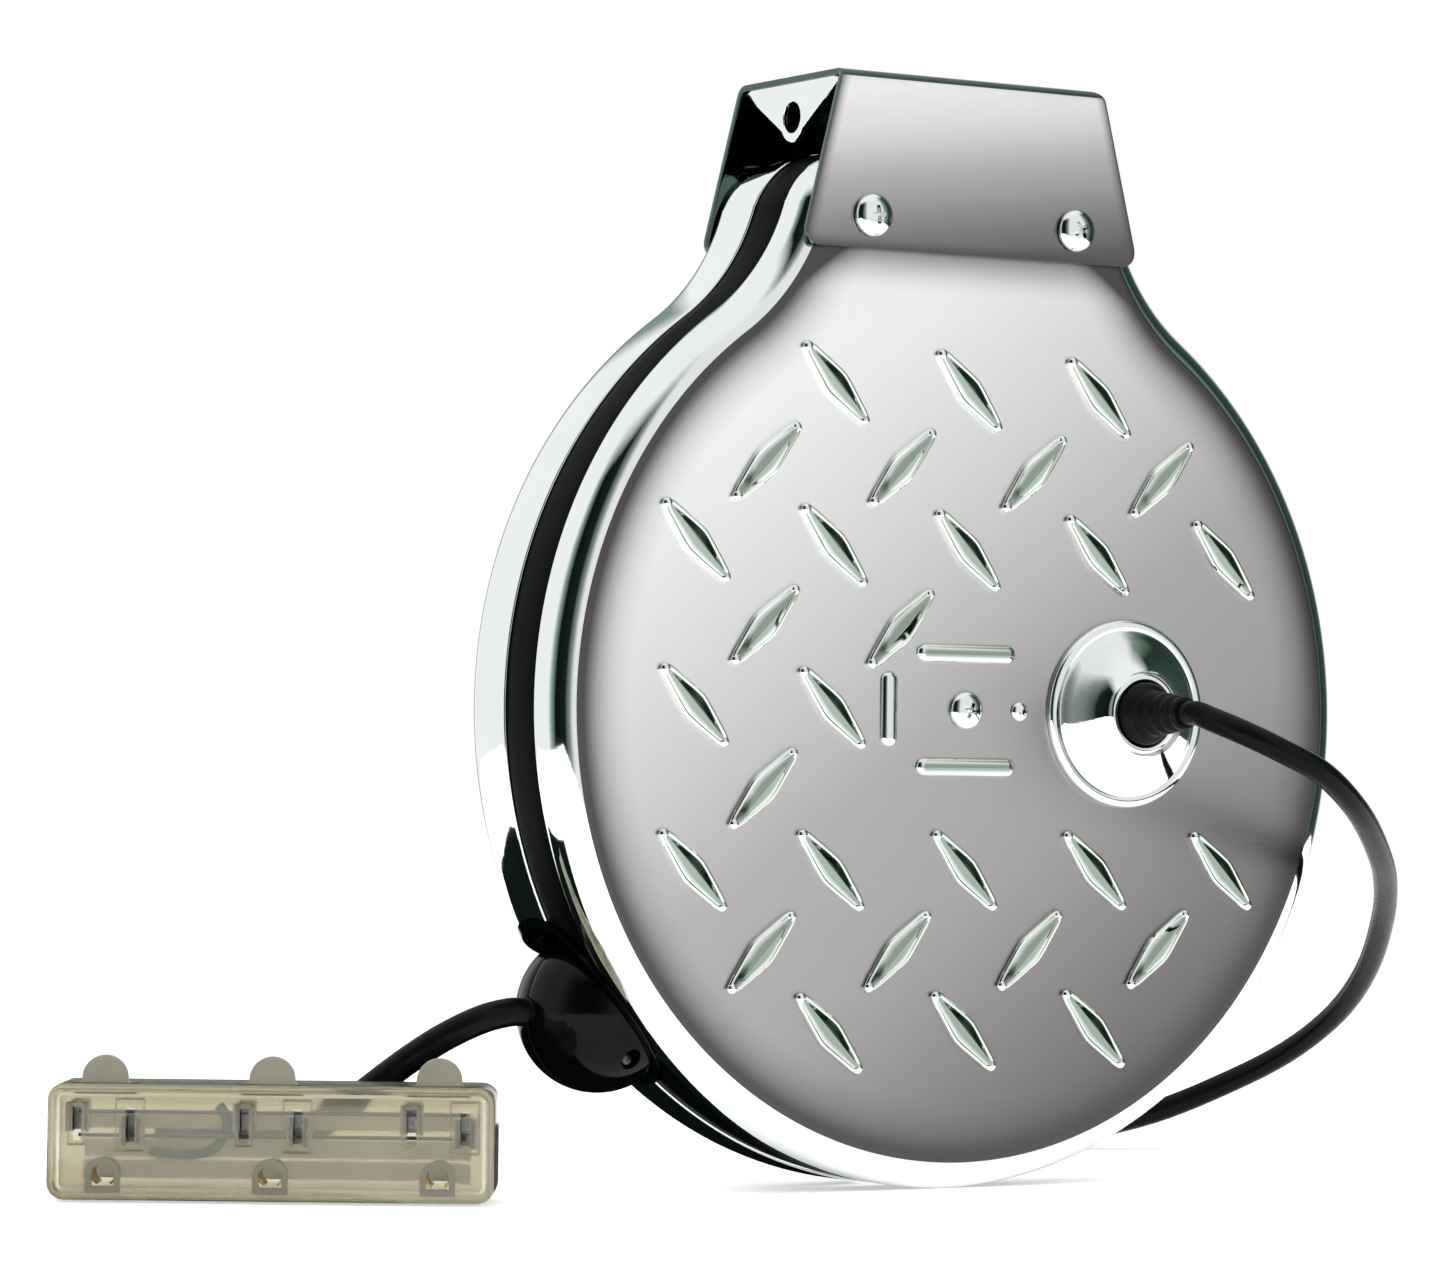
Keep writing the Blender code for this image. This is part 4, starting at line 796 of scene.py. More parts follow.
# one bent sheet: up the front plate, over the top and down the rear plate
def buildBracket():
    outY = bracket["inY"] + bracket["sheet"]
    bend = bracket["bend"]
    front = []
    rise = bracket["top"] - bend - bracket["bottom"]
    lifts = [bracket["corner"] * (1 - math.cos(math.radians(90 * i / 8))) / rise for i in range(9)]
    for share in lifts + [0.3, 0.5, 0.7, 0.85, 0.94, 0.97]:
        front.append((-outY, bracket["bottom"] + rise * share, (1, 0)))
    for y, z in arc((bend - outY, bracket["top"] - bend), bend, 180, 90, 6):
        normal = ((bend - outY - y) / bend, (bracket["top"] - bend - z) / bend)
        front.append((y, z, normal))
    path = front + [(-y, z, (-normal[0], normal[1])) for y, z, normal in reversed(front)]
    loops = []
    for y, z, normal in path:
        left, right = -bracketHalf(z), bracketRight(z)
        innerY, innerZ = y + normal[0] * bracket["sheet"], z + normal[1] * bracket["sheet"]
        across = [left + inset for inset in bracket["border"]] + [right - inset
                                                                  for inset in reversed(bracket["border"])]
        loops.append([(x, y, z) for x in across] + [(x, innerY, innerZ) for x in reversed(across)])
    bm = loft(bmesh.new(), loops)
    # painted shade: vertices near the sheet's edges are darkened through the painted-shade attribute
    layer = bm.verts.layers.float["nearRim"]
    for vert in bm.verts:
        x, y, z = vert.co
        inset = min(x + bracketHalf(z), bracketRight(z) - x, z - bracket["bottom"])
        vert[layer] = max(1 - inset / bracket["border"][-1], 0) ** bracket["paintedEdgeFall"]
    made = addObject("mountingBracket", toFrame(bm), (satinBracket, shadedChrome), angle=50)
    through = (bracket["top"] - bracket["holeCut"], bracket["top"] + bracket["holeCut"])
    holes = bmesh.new()
    for x in (-bracket["topHoleX"], bracket["topHoleX"]):
        ring = arc((x, 0), bracket["topHoleR"], 0, 360, 32)[:-1]
        loft(holes, [[(a, b, z) for a, b in ring] for z in through])
    carve(made, toFrame(holes), angle=50)
    bevel(made, bracket["edge"])
    # the inside faces take the chrome with painted shade and reflection
    skin = bracket["skin"]
    for face in made.data.polygons:
        middle = face.center
        outside = abs(middle.y) > (outY - skin) * mm or middle.z > axisZ + (bracket["top"] - skin) * mm
        face.material_index = 0 if outside else 1
    return seat(made, "housing", "satin", "mounting_bracket")


buildBracket()


# flat plate with a round hole: rays from the hole's middle find the outline
def holedPlate(bm, outline, middle, radius, place, levels, steps=72):
    rim = []
    for i in range(steps):
        ray = Vector((math.cos(2 * math.pi * i / steps), math.sin(2 * math.pi * i / steps)))
        best = None
        for (ax, ay), (bx, by) in zip(outline, outline[1:] + outline[:1]):
            a, b = Vector((ax - middle[0], ay - middle[1])), Vector((bx - ax, by - ay))
            cross = ray.x * b.y - ray.y * b.x
            if abs(cross) < 1e-9:
                continue
            far = (a.x * b.y - a.y * b.x) / cross
            share = (a.x * ray.y - a.y * ray.x) / cross
            if far > 0 and -1e-6 <= share <= 1 + 1e-6 and (best is None or far < best):
                best = far
        rim.append((ray * best, ray * radius))
    near, far = levels
    loops = []
    for level, which in ((near, 0), (far, 0), (far, 1), (near, 1)):
        loops.append([place(spot[which].x + middle[0], spot[which].y + middle[1], level) for spot in rim])
    return loft(bm, loops, ring=True)


# folded ends of the bracket: a pointed tab with a round hole, turned down at each end of the top plate
def buildTabs():
    bm = bmesh.new()
    holeZ = bracket["top"] - bracket["tabHoleDrop"]
    tipZ = bracket["top"] - bracket["tabDrop"] + bracket["tabTip"]
    base = bracket["inY"] - bracket["tabInset"]
    high = bracket["top"] - bracket["sheet"] + bracket["tabSeat"]
    across, down = bracket["tabShoulder"]
    outline = [(base, high - down), (base - across, high), (across - base, high), (-base, high - down)]
    outline += arc((0, tipZ), bracket["tabTip"], *bracket["tabSweep"], 14)
    for side in (-1, 1):
        end = bracketRight(bracket["top"]) if side > 0 else bracket["topHalf"]
        near, far = side * (end - bracket["sheet"]), side * (end - bracket["tabSeat"])
        holedPlate(bm, outline, (0, holeZ), bracket["tabHoleR"], lambda a, b, x: (x, a, b), (near, far))
    tabs = addObject("bracketTabs", toFrame(bm), (polishedChrome,), angle=30)
    return seat(bevel(tabs, bracket["edge"]), "housing", "satin")


buildTabs()
print("bracket folded")

rosette = {"x": 49.0, "seat": 22.3, "profile": (
    (8.3, 0.0), (23.9, 0.0), (24.0, 0.35), (23.95, 0.9), (23.6, 1.45), (23.0, 1.75), (22.2, 1.85),
    (21.6, 1.75),
    (21.2, 1.6), (20.8, 1.75), (20.2, 2.15), (18.4, 3.05), (16.0, 4.3), (13.6, 5.7), (11.9, 6.9),
    (10.9, 7.8),
    (10.4, 8.4), (10.2, 8.8), (9.9, 9.1), (9.4, 9.25), (8.8, 9.2), (8.4, 8.9), (8.3, 8.4))}


def buildRosette():
    profile = [(radius, -rosette["seat"] - rise) for radius, rise in rosette["profile"]]
    made = addObject("inletRosette", toFrame(lathe(bmesh.new(), profile, (rosette["x"], 0, 0), 128,
                                                   ring=True)), (polishedChrome,))
    return seat(made, "housing", "chrome", "inlet_rosette")


buildRosette()
inletBush = {"r": 8.0, "inside": 16.7, "dome": 31.5, "nose": 48.7, "noseR": 4.2, "ribs": 4, "rib": 0.45,
             "collar": ((7.9, 0.9), (7.4, 1.9), (6.6, 2.5), (6.2, 2.7)), "endCut": 0.6,
             "noseRound": ((0.15, 0.25), (0.5, 0.0))}


# moulded bush: a domed collar in the rosette, then a tapering ribbed nose round the lead
def buildBush():
    bush = inletBush
    profile = [(bush["r"], -bush["inside"]), (bush["r"], -bush["dome"])]
    profile += [(radius, -bush["dome"] - far) for radius, far in bush["collar"]]
    neckR, neckFar = bush["collar"][-1]
    first, last = bush["dome"] + neckFar, bush["nose"] - bush["endCut"]
    count = bush["ribs"] * 8
    for i in range(1, count + 1):
        share = i / count
        wave = bush["rib"] * (math.cos(2 * math.pi * bush["ribs"] * share) - 1) / 2
        profile.append((neckR + (bush["noseR"] - neckR) * share + wave, -first - (last - first) * share))
    profile += [(bush["noseR"] - cut, -bush["nose"] + back) for cut, back in bush["noseRound"]]
    made = addObject("inletBush", toFrame(lathe(bmesh.new(), profile, (rosette["x"], 0, 0), 64)),
                     (softPvc,))
    return seat(made, "housing", "rubber", "inlet_bush")


buildBush()
print("inlet fitted")


# half of the ball that clamps the lead, split front and rear
def buildBallHalf(name, side, node):
    radius = ballStop["r"]
    seam = side * ballStop["seam"]
    profile = [(radius - ballStop["seamCut"], seam), (radius - ballStop["seamRound"], 2 * seam)]
    profile += [(max(r, 0.1), side * y) for r, y in arc((0, 0), radius, 2.5, 90, 24)]
    half = addObject(name, toFrame(lathe(bmesh.new(), profile, ballSpot, 96)), (glossBlackAbs,))
    bore = lathe(bmesh.new(), [(ballStop["bore"], -2 * radius), (ballStop["bore"], 2 * radius)],
                 ballSpot, 48, along="X")
    carve(half, toFrame(bore))
    if side < 0:
        wells = bmesh.new()
        for z in (-ballStop["screwZ"], ballStop["screwZ"]):
            wide = ballStop["screwR"] + ballStop["well"]
            spot = (ballSpot[0], ballSpot[1], ballSpot[2] + z)
            lathe(wells, [(wide, -2 * radius), (wide, -radius * ballStop["wellFloor"])], spot, 32)
        carve(half, toFrame(wells))
    return seat(half, "cord_end", "gloss", node)


buildBallHalf("ballStopFront", -1, "ball_stop_front")
buildBallHalf("ballStopRear", 1, "ball_stop_rear")


# two screws draw the halves together, deep in their wells
def buildBallScrews():
    low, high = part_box("ball_screw_upper")
    radius = ballStop["screwR"] * mm
    headY = low.y + screws["rise"] * radius
    spots = []
    for z in (-ballStop["screwZ"], ballStop["screwZ"]):
        spot = at(ballSpot[0], 0, ballSpot[2] + z)
        spots.append((Vector((spot.x, headY, spot.z)), (0, ballStop["screwLean"] + z, 0), radius))
    pair = scatter("ballScrews", screwShape(ballStop["screwShank"], (high.y - headY) / radius), spots,
                   springSteel)
    return seat(pair, "cord_end", "zinc", "ball_screw_upper", "ball_screw_lower")


buildBallScrews()


# jacket of the cord that runs back from the ball to the drum
def buildCordTail():
    low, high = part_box("lead_tail")
    radius = outletLead["diameter"] / 2
    start, end = low.x / mm - ballSpot[0], high.x / mm - ballSpot[0]
    count, cut = outletLead["tailRows"], outletLead["tailRound"]
    profile = [(radius - cut, start), (radius, start + cut)]
    profile += [(radius, start + cut + (end - start - 2 * cut) * i / count) for i in range(1, count + 1)]
    profile.append((radius - cut, end))
    tail = addObject("cordTail", toFrame(lathe(bmesh.new(), profile, ballSpot, 40, along="X")),
                     (pvcJacket,))
    return seat(tail, "cord_end", "rubber", "lead_tail")


buildCordTail()


# cup in the rim that the ball is pulled into
def buildGuide():
    radius, lead = ballStop["r"], outletLead["diameter"] / 2 + ballStop["leadSlack"]
    profile = []
    for ball in (radius + ballStop["cupWall"], radius + housing["gap"]):
        start = math.degrees(math.asin(ballStop["cupEdge"] / ball))
        stop = math.degrees(math.acos(lead / ball))
        ring = arc((0, 0), ball, start, stop, 20)
        profile += ring if not profile else reversed(ring)
    profile += [(radius + 2 * housing["gap"], -2 * radius), (radius + ballStop["cupWall"], -2 * radius)]
    cup = addObject("cordGuide", toFrame(lathe(bmesh.new(), profile, ballSpot, 96, along="X", ring=True)),
                    (glossBlackAbs,))
    edge = housing["edgeR"]
    bend = [(out + ballStop["lip"], y) for out, y in arc((0, faceY - edge), edge, 90, 0, 8)]
    skin = bend + [(out, -y) for out, y in reversed(bend)]
    collar = [[(x, y, z) for x, z in keyhole(out)] for out, y in skin]
    carve(cup, toFrame(loft(bmesh.new(), collar)), "INTERSECT")
    return seat(cup, "housing", "gloss", "cord_guide")


buildGuide()
print("ball stop seated")

block = {"turn": -32.127, "length": 106.0, "height": 28.0, "foot": 0.44, "depth": 26.0, "split": 5.0,
         "wall": 2.2, "corner": 4.0, "edge": 1.6, "pitch": 39.6, "slotZ": 18.4, "slotGap": 12.7,
         "slotHeight": 8.0, "slotWidth": 2.2, "groundDrop": 11.9, "groundR": 2.7, "tabWidth": 10.8,
         "tabHeight": 6.7, "tabDepth": 3.0, "tabBack": 2.5, "tabEdge": 0.5,
         "tabFoot": ((0.0, 0.6), (0.9, 1.5)), "tabFlare": 2.0, "tabGap": 0.02, "innerRound": 0.8,
         "cutOut": 3.0, "cutDeep": 5.0, "bootX": -8.0, "bootLength": 22.0, "bootR": 5.0, "bootZ": 13.0,
         "bootRibs": 5, "bootDip": 0.7, "gap": 0.3}
blockFront, blockRear = -block["depth"] / 2, block["depth"] / 2
blockTurn = Matrix.Rotation(math.radians(block["turn"]), 4, "Z")
bootMouth = Vector((block["bootX"] + block["gap"],
                    blockRear + block["gap"] + block["bootR"], block["bootZ"]))
blockSpot = Vector(outletLead["route"][-1]) - blockTurn @ bootMouth
blockPlace = Matrix.Translation(at(*blockSpot)) @ blockTurn @ Matrix.Scale(mm, 4)


# half of the clear case: rounded at its closed face, open at the split
def caseHalf(name, closedY, splitY):
    side = 1 if splitY > closedY else -1
    half, foot, top = block["length"] / 2, block["foot"], block["height"]
    wall, edge, inner = block["wall"], block["edge"], block["innerRound"]
    stations = []
    for degrees in (0, 22.5, 45, 67.5, 90):
        angle = math.radians(degrees)
        stations.append((edge * (1 - math.sin(angle)), closedY + side * edge * (1 - math.cos(angle))))
    stations += [(0, splitY), (wall, splitY), (wall, closedY + side * (wall + inner)),
                 (wall + inner, closedY + side * wall)]
    loops = []
    for inset, y in stations:
        radius = max(block["corner"] - inset, inner)
        loops.append([(x, y, z) for x, z in roundedBox(half - inset, foot + inset, top - inset, radius)])
    return addObject(name, toFrame(loft(bmesh.new(), loops), blockPlace), (smokyPolycarbonate,))


def archOutline(x, z, radius, steps=16):
    return arc((x, z), radius, 0, 180, steps) + [(x - radius, z - radius), (x + radius, z - radius)]


def outletSpots():
    return [i * block["pitch"] for i in (-1, 0, 1)]


def buildCase():
    cover = caseHalf("blockFront", blockFront, block["split"] - block["gap"] / 2)
    groundZ = block["slotZ"] - block["groundDrop"]
    through = (blockFront - block["cutOut"], blockFront + block["cutDeep"])
    tabs, cuts = bmesh.new(), bmesh.new()
    for x in outletSpots():
        wide = block["tabWidth"] / 2
        crown = block["height"] + block["tabHeight"] - wide
        foot = [(wide + out, crown - down) for out, down in block["tabFoot"]]
        foot.append((wide + block["tabFlare"], block["height"] + block["tabGap"]))
        shape = arc((x, crown), wide, 0, 180, 20) + [(x - out, z) for out, z in foot]
        shape += [(x + out, z) for out, z in reversed(foot)]
        near = blockFront + block["tabBack"]
        loft(tabs, [[(a, y, b) for a, b in shape] for y in (near, near + block["tabDepth"])])
        for side in (-1, 1):
            middle = x + side * block["slotGap"] / 2
            a, b = middle - block["slotWidth"] / 2, middle + block["slotWidth"] / 2
            low, high = block["slotZ"] - block["slotHeight"] / 2, block["slotZ"] + block["slotHeight"] / 2
            ring = ((a, low), (b, low), (b, high), (a, high))
            loft(cuts, [[(p, y, q) for p, q in ring] for y in through])
        arch = archOutline(x, groundZ, block["groundR"])
        loft(cuts, [[(p, y, q) for p, q in arch] for y in through])
    carve(cover, toFrame(cuts, blockPlace))
    seat(cover, "cord_end", "clear", "block_front")
    thumbs = bevel(addObject("blockTabs", toFrame(tabs, blockPlace), (frostedPolycarbonate,)),
                   block["tabEdge"], 3)
    seat(thumbs, "cord_end", "clear")
    back = caseHalf("blockRear", blockRear, block["split"] + block["gap"] / 2)
    seat(back, "cord_end", "clear", "block_rear")
    return cover, back, thumbs


blockPieces = list(buildCase())


# raised frame round an opening, from an inner and an outer outline
def frameShape(inner, outer, proud):
    loops = []
    for outline, y in ((inner, 0), (outer, 0), (outer, -proud * slotFrame["step"]), (inner, -proud)):
        loops.append([(x * mm, y * mm, z * mm) for x, z in outline])
    return addObject("frameShape", loft(bmesh.new(), loops, ring=True))


def placeOnBlock(spots):
    turn = (0, 0, math.radians(block["turn"]))
    return [(blockPlace @ Vector(spot), turn, 1.0) for spot in spots]


slotFrame = {"wide": 3.6, "high": 6.4, "rim": 0.55, "narrow": 2.1, "short": 5.0, "proud": 0.5,
             "archRim": 1.5, "archProud": 0.9, "innerRound": 0.25, "outerRound": 0.4, "step": 0.7,
             "archGap": 0.05, "lift": 0.02}


def buildFrames():
    face = blockFront - slotFrame["lift"]
    rim = slotFrame["rim"]
    for name, wide, high, side in (("lineSlotFrames", "wide", "high", 1),
                                   ("neutralSlotFrames", "narrow", "short", -1)):
        a, b = slotFrame[wide], slotFrame[high]
        inner = roundedBox(a - rim, rim - b, b - rim, slotFrame["innerRound"])
        shape = frameShape(inner, roundedBox(a, -b, b, slotFrame["outerRound"]), slotFrame["proud"])
        spots = [(x + side * block["slotGap"] / 2, face, block["slotZ"]) for x in outletSpots()]
        blockPieces.append(seat(scatter(name, shape, placeOnBlock(spots), smokyPolycarbonate), "cord_end",
                                "clear"))
    inner = archOutline(0, 0, block["groundR"] + slotFrame["archGap"])
    outer = archOutline(0, 0, block["groundR"] + slotFrame["archRim"])
    shape = frameShape(inner, outer, slotFrame["archProud"])
    spots = [(x, face, block["slotZ"] - block["groundDrop"]) for x in outletSpots()]
    blockPieces.append(seat(scatter("groundFrames", shape, placeOnBlock(spots), frostedPolycarbonate),
                            "cord_end", "clear"))


buildFrames()

clip = {"leaf": 0.6, "gap": 1.5, "high": 7.0, "deep": 9.0, "foot": 1.2, "start": -10.2, "groundR": 3.3,
        "groundWall": 0.6, "flare": 0.7, "pinch": 0.6, "throat": 2.2, "straight": 5, "shift": 1.6,
        "footRound": 0.5, "footGap": 0.05, "groundLift": 0.4, "groundSweep": (-60, 240)}


# contact clips: two sprung leaves on a foot behind each blade slot, a split tube behind each ground hole
def buildClips():
    bm = bmesh.new()
    for side in (-1, 1):
        flare, pinch = side * clip["flare"], side * clip["flare"] * clip["pinch"]
        inner, outer = side * clip["gap"], side * (clip["gap"] + clip["leaf"])
        spots = ((inner + flare, 0), (outer + flare, 0), (outer - pinch, clip["throat"]),
                 (outer, clip["straight"]), (outer, clip["deep"]), (inner, clip["deep"]),
                 (inner, clip["straight"]), (inner - pinch, clip["throat"]))
        loft(bm, [[(x * mm, y * mm, z * mm) for x, y in spots]
                  for z in (-clip["high"] / 2, clip["high"] / 2)])
    feet = (clip["deep"] + clip["footGap"], clip["deep"] + clip["foot"])
    foot = roundedBox(clip["gap"] + clip["leaf"], -clip["high"] / 2, clip["high"] / 2, clip["footRound"])
    loft(bm, [[(x * mm, y * mm, z * mm) for x, z in foot] for y in feet])
    shape = addObject("clipShape", bm)
    spots = []
    for x in outletSpots():
        for side, shift in ((-1, clip["shift"]), (1, -clip["shift"])):
            spots.append((x + side * block["slotGap"] / 2, clip["start"], block["slotZ"] + shift))
    blockPieces.append(seat(scatter("bladeClips", shape, placeOnBlock(spots), tinnedBrass), "cord_end",
                            "brass"))
    radius, wall = clip["groundR"], clip["groundWall"]
    first, last = clip["groundSweep"]
    outline = arc((0, 0), radius, first, last, 24) + arc((0, 0), radius - wall, last, first, 24)
    bm = loft(bmesh.new(), [[(x * mm, y * mm, z * mm) for x, z in outline] for y in (0, clip["deep"])])
    shape = addObject("groundClipShape", bm)
    spots = [(x, clip["start"], block["slotZ"] - block["groundDrop"] + clip["groundLift"])
             for x in outletSpots()]
    blockPieces.append(seat(scatter("groundClips", shape, placeOnBlock(spots), stampedBrass), "cord_end",
                            "brass"))


buildClips()

conductor = {"diameter": 2.6, "route": ((-30, 6.0, 11.0), (-25, 3.5, 10.6), (-19, -0.5, 10.8),
                                        (-14, -3.5, 12.5), (-11.5, -4.6, 16), (-11, -4.2, 19.5),
                                        (-13, -3.4, 22.5))}
busWire = {"diameter": 0.9, "y": -7.4, "heights": (21.2, 15.6), "half": 46.0}


# round wire swept along a path
def tubeMesh(name, path, diameter, finish, place):
    loops = []
    lift = Vector((0, 1, 0))
    for i, spot in enumerate(path):
        ahead = (path[min(i + 1, len(path) - 1)] - path[max(i - 1, 0)]).normalized()
        across = ahead.cross(lift).normalized()
        lift = across.cross(ahead).normalized()
        ring = arc((0, 0), diameter / 2, 0, 360, 16)[:-1]
        loops.append([spot + across * a + lift * b for a, b in ring])
    return addObject(name, toFrame(loft(bmesh.new(), loops), place), (finish,))


wire = tubeMesh("earthConductor", throughPoints(conductor["route"], 6),
                conductor["diameter"], greenPvc, blockPlace)
blockPieces.append(seat(wire, "cord_end", "copper"))
for name, height in zip(("upperBusWire", "lowerBusWire"), busWire["heights"]):
    route = [(busWire["half"] * share, busWire["y"], height) for share in (-1, -0.5, 0, 0.5, 1)]
    wire = tubeMesh(name, throughPoints(route, 6), busWire["diameter"], springSteel, blockPlace)
    blockPieces.append(seat(wire, "cord_end", "copper"))


relief = {"startCut": 0.6, "endCut": 0.3, "ribStart": 0.06, "ribSpan": 0.92, "ribSteps": 8, "clear": 0.5}


# ribbed strain relief, thick end first, along X
def reliefProfile(startX, endX, wide, narrow, ribs, dip):
    cut = relief["startCut"]
    profile = [(wide - cut, startX), (wide, startX + math.copysign(cut, endX - startX))]
    count = ribs * relief["ribSteps"]
    for i in range(1, count + 1):
        share = i / count
        wave = dip * (math.cos(2 * math.pi * ribs * share) - 1) / 2
        along = relief["ribStart"] + relief["ribSpan"] * share
        profile.append((wide + (narrow - wide) * share + wave, startX + (endX - startX) * along))
    profile.append((narrow - relief["endCut"], endX))
    return profile


def buildBlockBoot():
    start = block["bootX"] - block["bootLength"]
    narrow = outletLead["diameter"] / 2 + relief["clear"]
    profile = reliefProfile(start, block["bootX"], block["bootR"], narrow,
                            block["bootRibs"], block["bootDip"])
    spot = (0, blockRear + block["gap"] + block["bootR"], block["bootZ"])
    boot = addObject("blockBoot", toFrame(lathe(bmesh.new(), profile, spot, 48, along="X"), blockPlace),
                     (softPvc,))
    return seat(boot, "cord_end", "rubber", "block_boot")


blockPieces.append(buildBlockBoot())
print("outlet block moulded")

plug = {"length": 26.0, "width": 26.0, "height": 22.0, "corner": 6.0, "shoulder": 10.4, "bootR": 5.9,
        "bootRibs": 5, "bootDip": 0.9}


# moulded plug lying by the coil: a waisted grip, a ribbed boot, brass blades
def buildPlug():
    middle, spot = coilPlaces()
    bm = bmesh.new()
    loops = []
    stations = ((0.0, 0.62), (0.5, 0.69), (1.5, 0.72), (4.0, 0.78), (7.5, 0.9), (plug["shoulder"], 0.97),
                (14.0, 0.985), (18.0, 0.99), (22.0, 1.0), (plug["length"] - 1.0, 1.0),
                (plug["length"] - 0.3, 0.985), (plug["length"], 0.95))
    for x, share in stations:
        half = plug["height"] / 2 * share
        ring = roundedBox(plug["width"] / 2 * share, -half, half, plug["corner"] * share, 8)
        loops.append([spot + Vector((x, a, b)) for a, b in ring])
    body = addObject("plugBody", toFrame(loft(bm, loops)), (softPvc,), angle=40)
    seat(body, "housing", "rubber", "plug_body")
    narrow = inletLead["diameter"] / 2 + relief["clear"]
    ends = (-inletLead["gap"], -inletLead["plugBoot"])
    profile = reliefProfile(*ends, plug["bootR"], narrow, plug["bootRibs"], plug["bootDip"])
    boot = addObject("plugBoot", toFrame(lathe(bmesh.new(), profile, spot, 48, along="X")), (softPvc,))
    seat(boot, "housing", "rubber", "plug_boot")
    return [body, boot]


blade = {"holeR": 1.5, "holeBack": 3.6, "tip": 1.6, "edge": 0.2, "pinRound": 2.2,
         "pinFoot": 0.9, "pinPole": 0.02}


# folded brass blades with a latch hole, and a round-nosed ground pin
def buildBlades():
    made = []
    for name, node in (("lineBlade", "plug_blade_line"), ("neutralBlade", "plug_blade_neutral")):
        low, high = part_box(node)
        tip = blade["tip"] * mm
        outline = [(low.x, low.z), (high.x - tip, low.z), (high.x, low.z + tip), (high.x, high.z - tip),
                   (high.x - tip, high.z), (low.x, high.z)]
        middle = (high.x - blade["holeBack"] * mm, (low.z + high.z) / 2)
        bm = holedPlate(bmesh.new(), outline, middle, blade["holeR"] * mm, lambda a, b,
                        y: (a, y, b), (low.y, high.y))
        piece = bevel(addObject(name, bm, (stampedBrass,)), blade["edge"])
        made.append(seat(piece, "housing", "brass", node))
    low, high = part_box("plug_ground_pin")
    radius, nose = (high.z - low.z) / 2, blade["pinRound"] * mm
    profile = [(radius * blade["pinFoot"], low.x), (radius, low.x + blade["edge"] * mm)]
    for i in range(10):
        angle = math.radians(10 * i)
        wide = max(math.cos(angle), blade["pinPole"])
        profile.append((radius * wide, high.x - nose + nose * math.sin(angle)))
    bm = lathe(bmesh.new(), profile, (0, (low.y + high.y) / 2, (low.z + high.z) / 2), 40, along="X")
    made.append(seat(addObject("groundPin", bm, (stampedBrass,)), "housing", "brass", "plug_ground_pin"))
    return made


plugPieces = buildPlug() + buildBlades()

tie = {"wall": 0.8, "width": 8.0, "slack": 0.8, "round": 3.0}


# strap round the coil
def buildTie():
    middle, spot = coilPlaces()
    thick = inletLead["diameter"]
    low, high = middle.z - thick / 2, middle.z - thick / 2 + thick * (inletLead["coilTurns"] + 1)
    inner = inletLead["coilR"] - thick / 2 - inletLead["gap"] - tie["slack"]
    outer = inletLead["coilR"] + thick / 2 + inletLead["gap"] + tie["slack"]
    centre, half = middle.x - (inner + outer) / 2, (outer - inner) / 2
    loops = []
    for wall, side in ((0, -1), (tie["wall"], -1), (tie["wall"], 1), (0, 1)):
        ring = roundedBox(half + wall, low - tie["wall"] / 3 - wall,
                          high + tie["wall"] / 3 + wall, tie["round"] + wall)
        loops.append([(centre + x, middle.y + side * tie["width"] / 2, z) for x, z in ring])
    strap = addObject("coilTie", toFrame(loft(bmesh.new(), loops, ring=True)), (nylonTape,))
    return seat(strap, "housing", "black", "coil_tie")


tiePiece = buildTie()
print("plug and tie laid")

# the mechanism inside keeps its solids and gets its metals and mouldings
insideFinishes = {
    "zinc": zincSteel, "steel": springSteel, "brass": stampedBrass, "copper": slipCopper,
    "carbon": carbonBlock,
    "phenolic": phenolicBoard, "black": blackAbs, "gloss": glossBlackAbs, "rubber": pvcJacket,
    "clear": smokyPolycarbonate,
    "chrome": polishedChrome, "satin": satinFace}
tinned = ("block_bar_line", "block_bar_neutral", "block_bar_ground")
for row in frame["record"]["subparts"]:
    own = brightTin if row["node"] in tinned else insideFinishes[row["material_slot"]]
    for slot in nodes[row["node"]].material_slots:
        slot.material = own
print("mechanism finished")

lights = {
    "key": {"place": (-750, -900, 780), "watts": 10.0, "size": 0.8},
    "side": {"place": (1150, -500, 620), "watts": 5.0, "size": 0.7},
    "back": {"place": (-300, 950, 700), "watts": 7.0, "size": 0.8}}


def setLights():
    for name, lamp in lights.items():
        data = bpy.data.lights.new(name + "Softbox", "AREA")
        data.energy = lamp["watts"]
        data.size = lamp["size"]
        obj = intoScene(name + "Softbox", data)
        obj.visible_glossy = False    # metal mirrors the studio, not the lamps
        obj.location = at(*lamp["place"])
        obj.rotation_euler = (at(0, 0, 0) - obj.location).to_track_quat("-Z", "Y").to_euler()


# studio that the chrome mirrors, white with dark gaps: from behind, by the left, front and right, to behind
studio = {
    "round": ((0.0, "#FFFFFF"), (0.255, "#FFFFFF"), (0.285, "#8FA79B"), (0.325, "#0B130F"),
              (0.41, "#16241D"), (0.45, "#8B9490"),
              (0.48, "#F3F3F3"), (0.625, "#F3F3F3"), (0.65, "#83958A"), (0.7, "#26362E"), (0.8, "#3E5449"),
              (0.87, "#FFFFFF"),
              (0.89, "#FFFFFF"), (0.91, "#56635C"), (0.965, "#8E9C95"), (0.99, "#FFFFFF")),
    "above": ((0.0, "#000000"), (0.84, "#000000"), (0.92, "#FFFFFF"), (1.0, "#FFFFFF")),
    "below": ((0.0, "#FFFFFF"), (0.14, "#FFFFFF"), (0.3, "#000000"), (1.0, "#000000")), "dark": "#0B130F",
    "soft": "#E9EBEC", "softLevel": 0.62}


